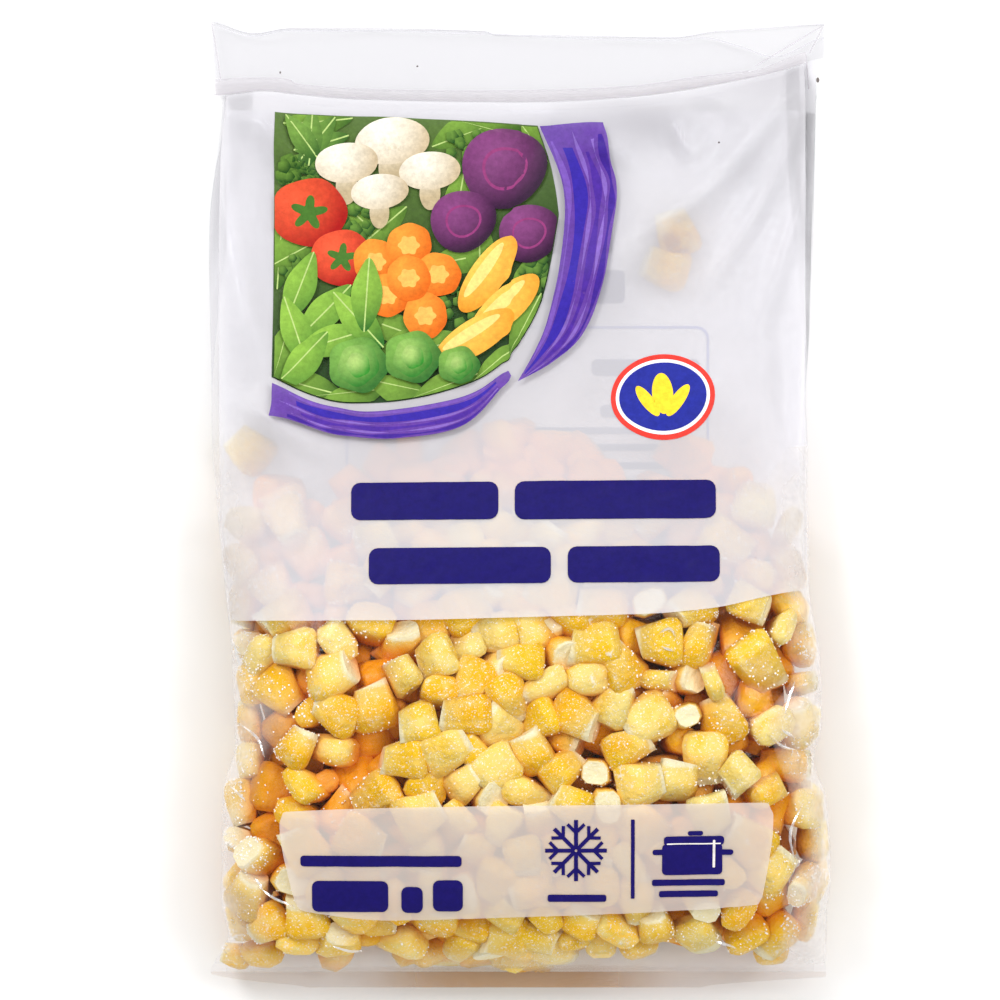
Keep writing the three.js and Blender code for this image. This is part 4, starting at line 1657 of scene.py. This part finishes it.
class CORNBAG_OT_ice(bpy.types.Operator):
    """Scatter grains of ice over the kernels and into the gaps between them"""

    bl_idname = "cornbag.ice"
    bl_label = "Ice grains"

    def execute(self, context):
        sizes = context.scene.corn_bag
        rng = np.random.default_rng(sizes.seed + 1)
        bm = bmesh.new()
        bmesh.ops.create_cube(bm, size=1)
        corners = np.array([vert.co[:] for vert in bm.verts])
        sides = [[vert.index for vert in face.verts] for face in bm.faces]
        bm.free()

        tree = draped["kernels"]
        tries = sizes.ice_grains * 3
        along = rng.uniform(BOTTOM_SEAL + 5, HEAP_END + 2, tries)
        on_front = rng.uniform(size=tries) < ICE_ON_FRONT
        angle = np.where(on_front, rng.uniform(0, math.pi, tries),
                         rng.uniform(math.pi, 2 * math.pi, tries))
        points = film_points(along, angle)
        clumps = ripples(points[:, 0], along, 21, 14) + rng.normal(0, 0.25, len(points))
        points = points[clumps > np.quantile(clumps, 2 / 3)]
        places = []
        for point in points:
            inner = point * (1, 1, 0.92) + rng.normal(0, 0.8, 3) + (0, 0, -ICE_BELOW)
            near, normal, _, distance = tree.find_nearest(Vector(inner))
            if distance < ICE_REACH and near.z > 1:
                places.append(np.array(near) + np.array(normal) * 0.08)
        grains = [
            corners * rng.uniform(0.12, 0.42) * rng.uniform(0.6, 1.2, 3)
            @ turned(rng.normal(size=3), rng.uniform(0, 6), 0.1, rng) + place
            for place in places]
        mesh = bpy.data.meshes.new("ice_grains")
        faces = [[corner + len(corners) * number for corner in side]
                 for number in range(len(grains)) for side in sides]
        mesh.from_pydata((np.concatenate(grains) * MM).tolist(), [], faces)
        nodes = Nodes("ice")
        ice = nodes.surface({
            "Base Color": nodes.mix_colour(nodes.noise(400), (0.98, 0.95, 0.88, 1), (1, 1, 1, 1)),
            "Roughness": 0.25, "Specular IOR Level": 0.8,
        })
        shown(add_object("ice_grains", mesh), nodes.finish(ice))
        return {"FINISHED"}


# Stage, in metres: the lamps' names, places, diameters and powers, and the camera, whose view
# has its width at one level over the floor.
FLOOR_REACH = 1.5
WORLD_LIGHT = 0.78
LAMPS = (
    ("left_light", (-0.7, 0.8, 1.1), 0.5, 8.8),
    ("right_light", (0.8, 0.35, 1.1), 0.5, 6.0),
    ("top_light", (0.2, 1.1, 0.9), 0.6, 3.0),
)
CAMERA_PLACE = (-0.0041, 0.0007, 2.2)
VIEW_WIDTH = 0.240
VIEW_WIDTH_LEVEL = 0.01
SENSOR_WIDTH = 36.0


class CORNBAG_OT_stage(bpy.types.Operator):
    """Lay a pale floor, and set the lights and the camera"""

    bl_idname = "cornbag.stage"
    bl_label = "Stage"

    def execute(self, context):
        scene = context.scene
        bm = bmesh.new()
        bmesh.ops.create_grid(bm, x_segments=1, y_segments=1, size=FLOOR_REACH / MM)
        floor = new_piece("floor", bm)
        nodes = Nodes("pale_floor")
        pale = nodes.surface({"Base Color": (0.92, 0.92, 0.92, 1), "Roughness": 0.85})
        floor.data.materials.append(nodes.finish(pale))

        world = bpy.data.worlds.new("soft_light")
        world.use_nodes = True
        background = world.node_tree.nodes["Background"].inputs
        background["Color"].default_value = (1, 1, 1, 1)
        background["Strength"].default_value = WORLD_LIGHT
        scene.world = world
        for name, place, diameter, power in LAMPS:
            light = bpy.data.lights.new(name, "AREA")
            light.shape = "DISK"
            light.size = diameter
            light.energy = power
            lamp = add_object(name, light)
            lamp.location = place
            lamp.rotation_euler = (-Vector(place)).to_track_quat("-Z", "Y").to_euler()

        camera = bpy.data.cameras.new("camera")
        camera.sensor_width = SENSOR_WIDTH
        camera.lens = SENSOR_WIDTH * (CAMERA_PLACE[2] - VIEW_WIDTH_LEVEL) / VIEW_WIDTH
        eye = add_object("camera", camera)
        eye.location = CAMERA_PLACE
        scene.camera = eye
        scene.view_settings.view_transform = "Standard"
        return {"FINISHED"}


class CornBagSettings(bpy.types.PropertyGroup):
    """The sizes and colours of the bag"""

    seed: bpy.props.IntProperty(
        name="Seed", description="Draws the kernels' places and turns", default=11, min=0)
    kernel_size: bpy.props.FloatVectorProperty(
        name="Kernel size", description="Width, depth and length of a cut kernel",
        default=(0.0104, 0.0072, 0.0112), subtype="XYZ_LENGTH", unit="LENGTH")
    kernel_spacing: bpy.props.FloatProperty(
        name="Kernel spacing", description="Distance between the middles of kernels",
        default=0.0094, subtype="DISTANCE", unit="LENGTH")
    film_roughness: bpy.props.FloatProperty(
        name="Film roughness", description="How soft the film's reflections are",
        default=0.15, min=0, max=1, subtype="FACTOR")
    golden_light: bpy.props.FloatVectorProperty(
        name="Golden, light", description="Skin of a light golden kernel",
        default=(0.81, 0.505, 0.004), subtype="COLOR", min=0, max=1)
    golden_deep: bpy.props.FloatVectorProperty(
        name="Golden, deep", description="Skin of a deep golden kernel",
        default=(0.81, 0.415, 0.001), subtype="COLOR", min=0, max=1)
    pale_light: bpy.props.FloatVectorProperty(
        name="Pale, light", description="Skin of a light pale kernel",
        default=(0.80, 0.64, 0.20), subtype="COLOR", min=0, max=1)
    pale_deep: bpy.props.FloatVectorProperty(
        name="Pale, deep", description="Skin of a deeper pale kernel",
        default=(0.98, 0.60, 0.06), subtype="COLOR", min=0, max=1)
    cut_colour: bpy.props.FloatVectorProperty(
        name="Cut end", description="The starchy end where a kernel was cut off",
        default=(0.84, 0.77, 0.50), subtype="COLOR", min=0, max=1)
    white_colour: bpy.props.FloatVectorProperty(
        name="White print", description="The print over the bag's upper part",
        default=(0.76, 0.745, 0.785), subtype="COLOR", min=0, max=1)
    white_cover: bpy.props.FloatProperty(
        name="White cover", description="How much the white print hides", default=0.60,
        min=0, max=1, subtype="FACTOR")
    label_colour: bpy.props.FloatVectorProperty(
        name="Label band", description="The pale band under the pictograms",
        default=(0.76, 0.67, 0.61), subtype="COLOR", min=0, max=1)
    label_cover: bpy.props.FloatProperty(
        name="Label cover", description="How much the label band hides", default=0.62,
        min=0, max=1, subtype="FACTOR")
    haze: bpy.props.FloatProperty(
        name="Haze", description="How milky the film is at the sides", default=0.62,
        min=0, max=1, subtype="FACTOR")
    ice_grains: bpy.props.IntProperty(
        name="Ice grains", description="Grains of ice in the heap", default=9000, min=0)
    gap_colour: bpy.props.FloatVectorProperty(
        name="Deep in the heap", description="Kernels that lie in the shade of others",
        default=(0.80, 0.25, 0.002), subtype="COLOR", min=0, max=1)


class CORNBAG_PT_panel(bpy.types.Panel):
    """The steps that build the bag, in order"""

    bl_label = "Frozen Sweetcorn Bag"
    bl_idname = "CORNBAG_PT_panel"
    bl_space_type = "VIEW_3D"
    bl_region_type = "UI"
    bl_category = "Corn Bag"

    def draw(self, context):
        settings = context.scene.corn_bag
        for name in CornBagSettings.__annotations__:
            self.layout.prop(settings, name)
        for step in STEPS:
            self.layout.operator(step.bl_idname)


STEPS = (
    CORNBAG_OT_kernels, CORNBAG_OT_film, CORNBAG_OT_film_details, CORNBAG_OT_ice,
    CORNBAG_OT_header, CORNBAG_OT_white_print, CORNBAG_OT_picture, CORNBAG_OT_inks,
    CORNBAG_OT_stage,
)
CLASSES = (CornBagSettings, *STEPS, CORNBAG_PT_panel)


def register():
    for cls in CLASSES:
        bpy.utils.register_class(cls)
    bpy.types.Scene.corn_bag = bpy.props.PointerProperty(type=CornBagSettings)


def unregister():
    del bpy.types.Scene.corn_bag
    for cls in reversed(CLASSES):
        bpy.utils.unregister_class(cls)


def main():
    register()
    bpy.ops.cornbag.kernels()
    bpy.ops.cornbag.film()
    bpy.ops.cornbag.film_details()
    bpy.ops.cornbag.ice()
    bpy.ops.cornbag.header()
    bpy.ops.cornbag.white_print()
    bpy.ops.cornbag.picture()
    bpy.ops.cornbag.inks()
    bpy.ops.cornbag.stage()


if __name__ == "__main__":
    main()
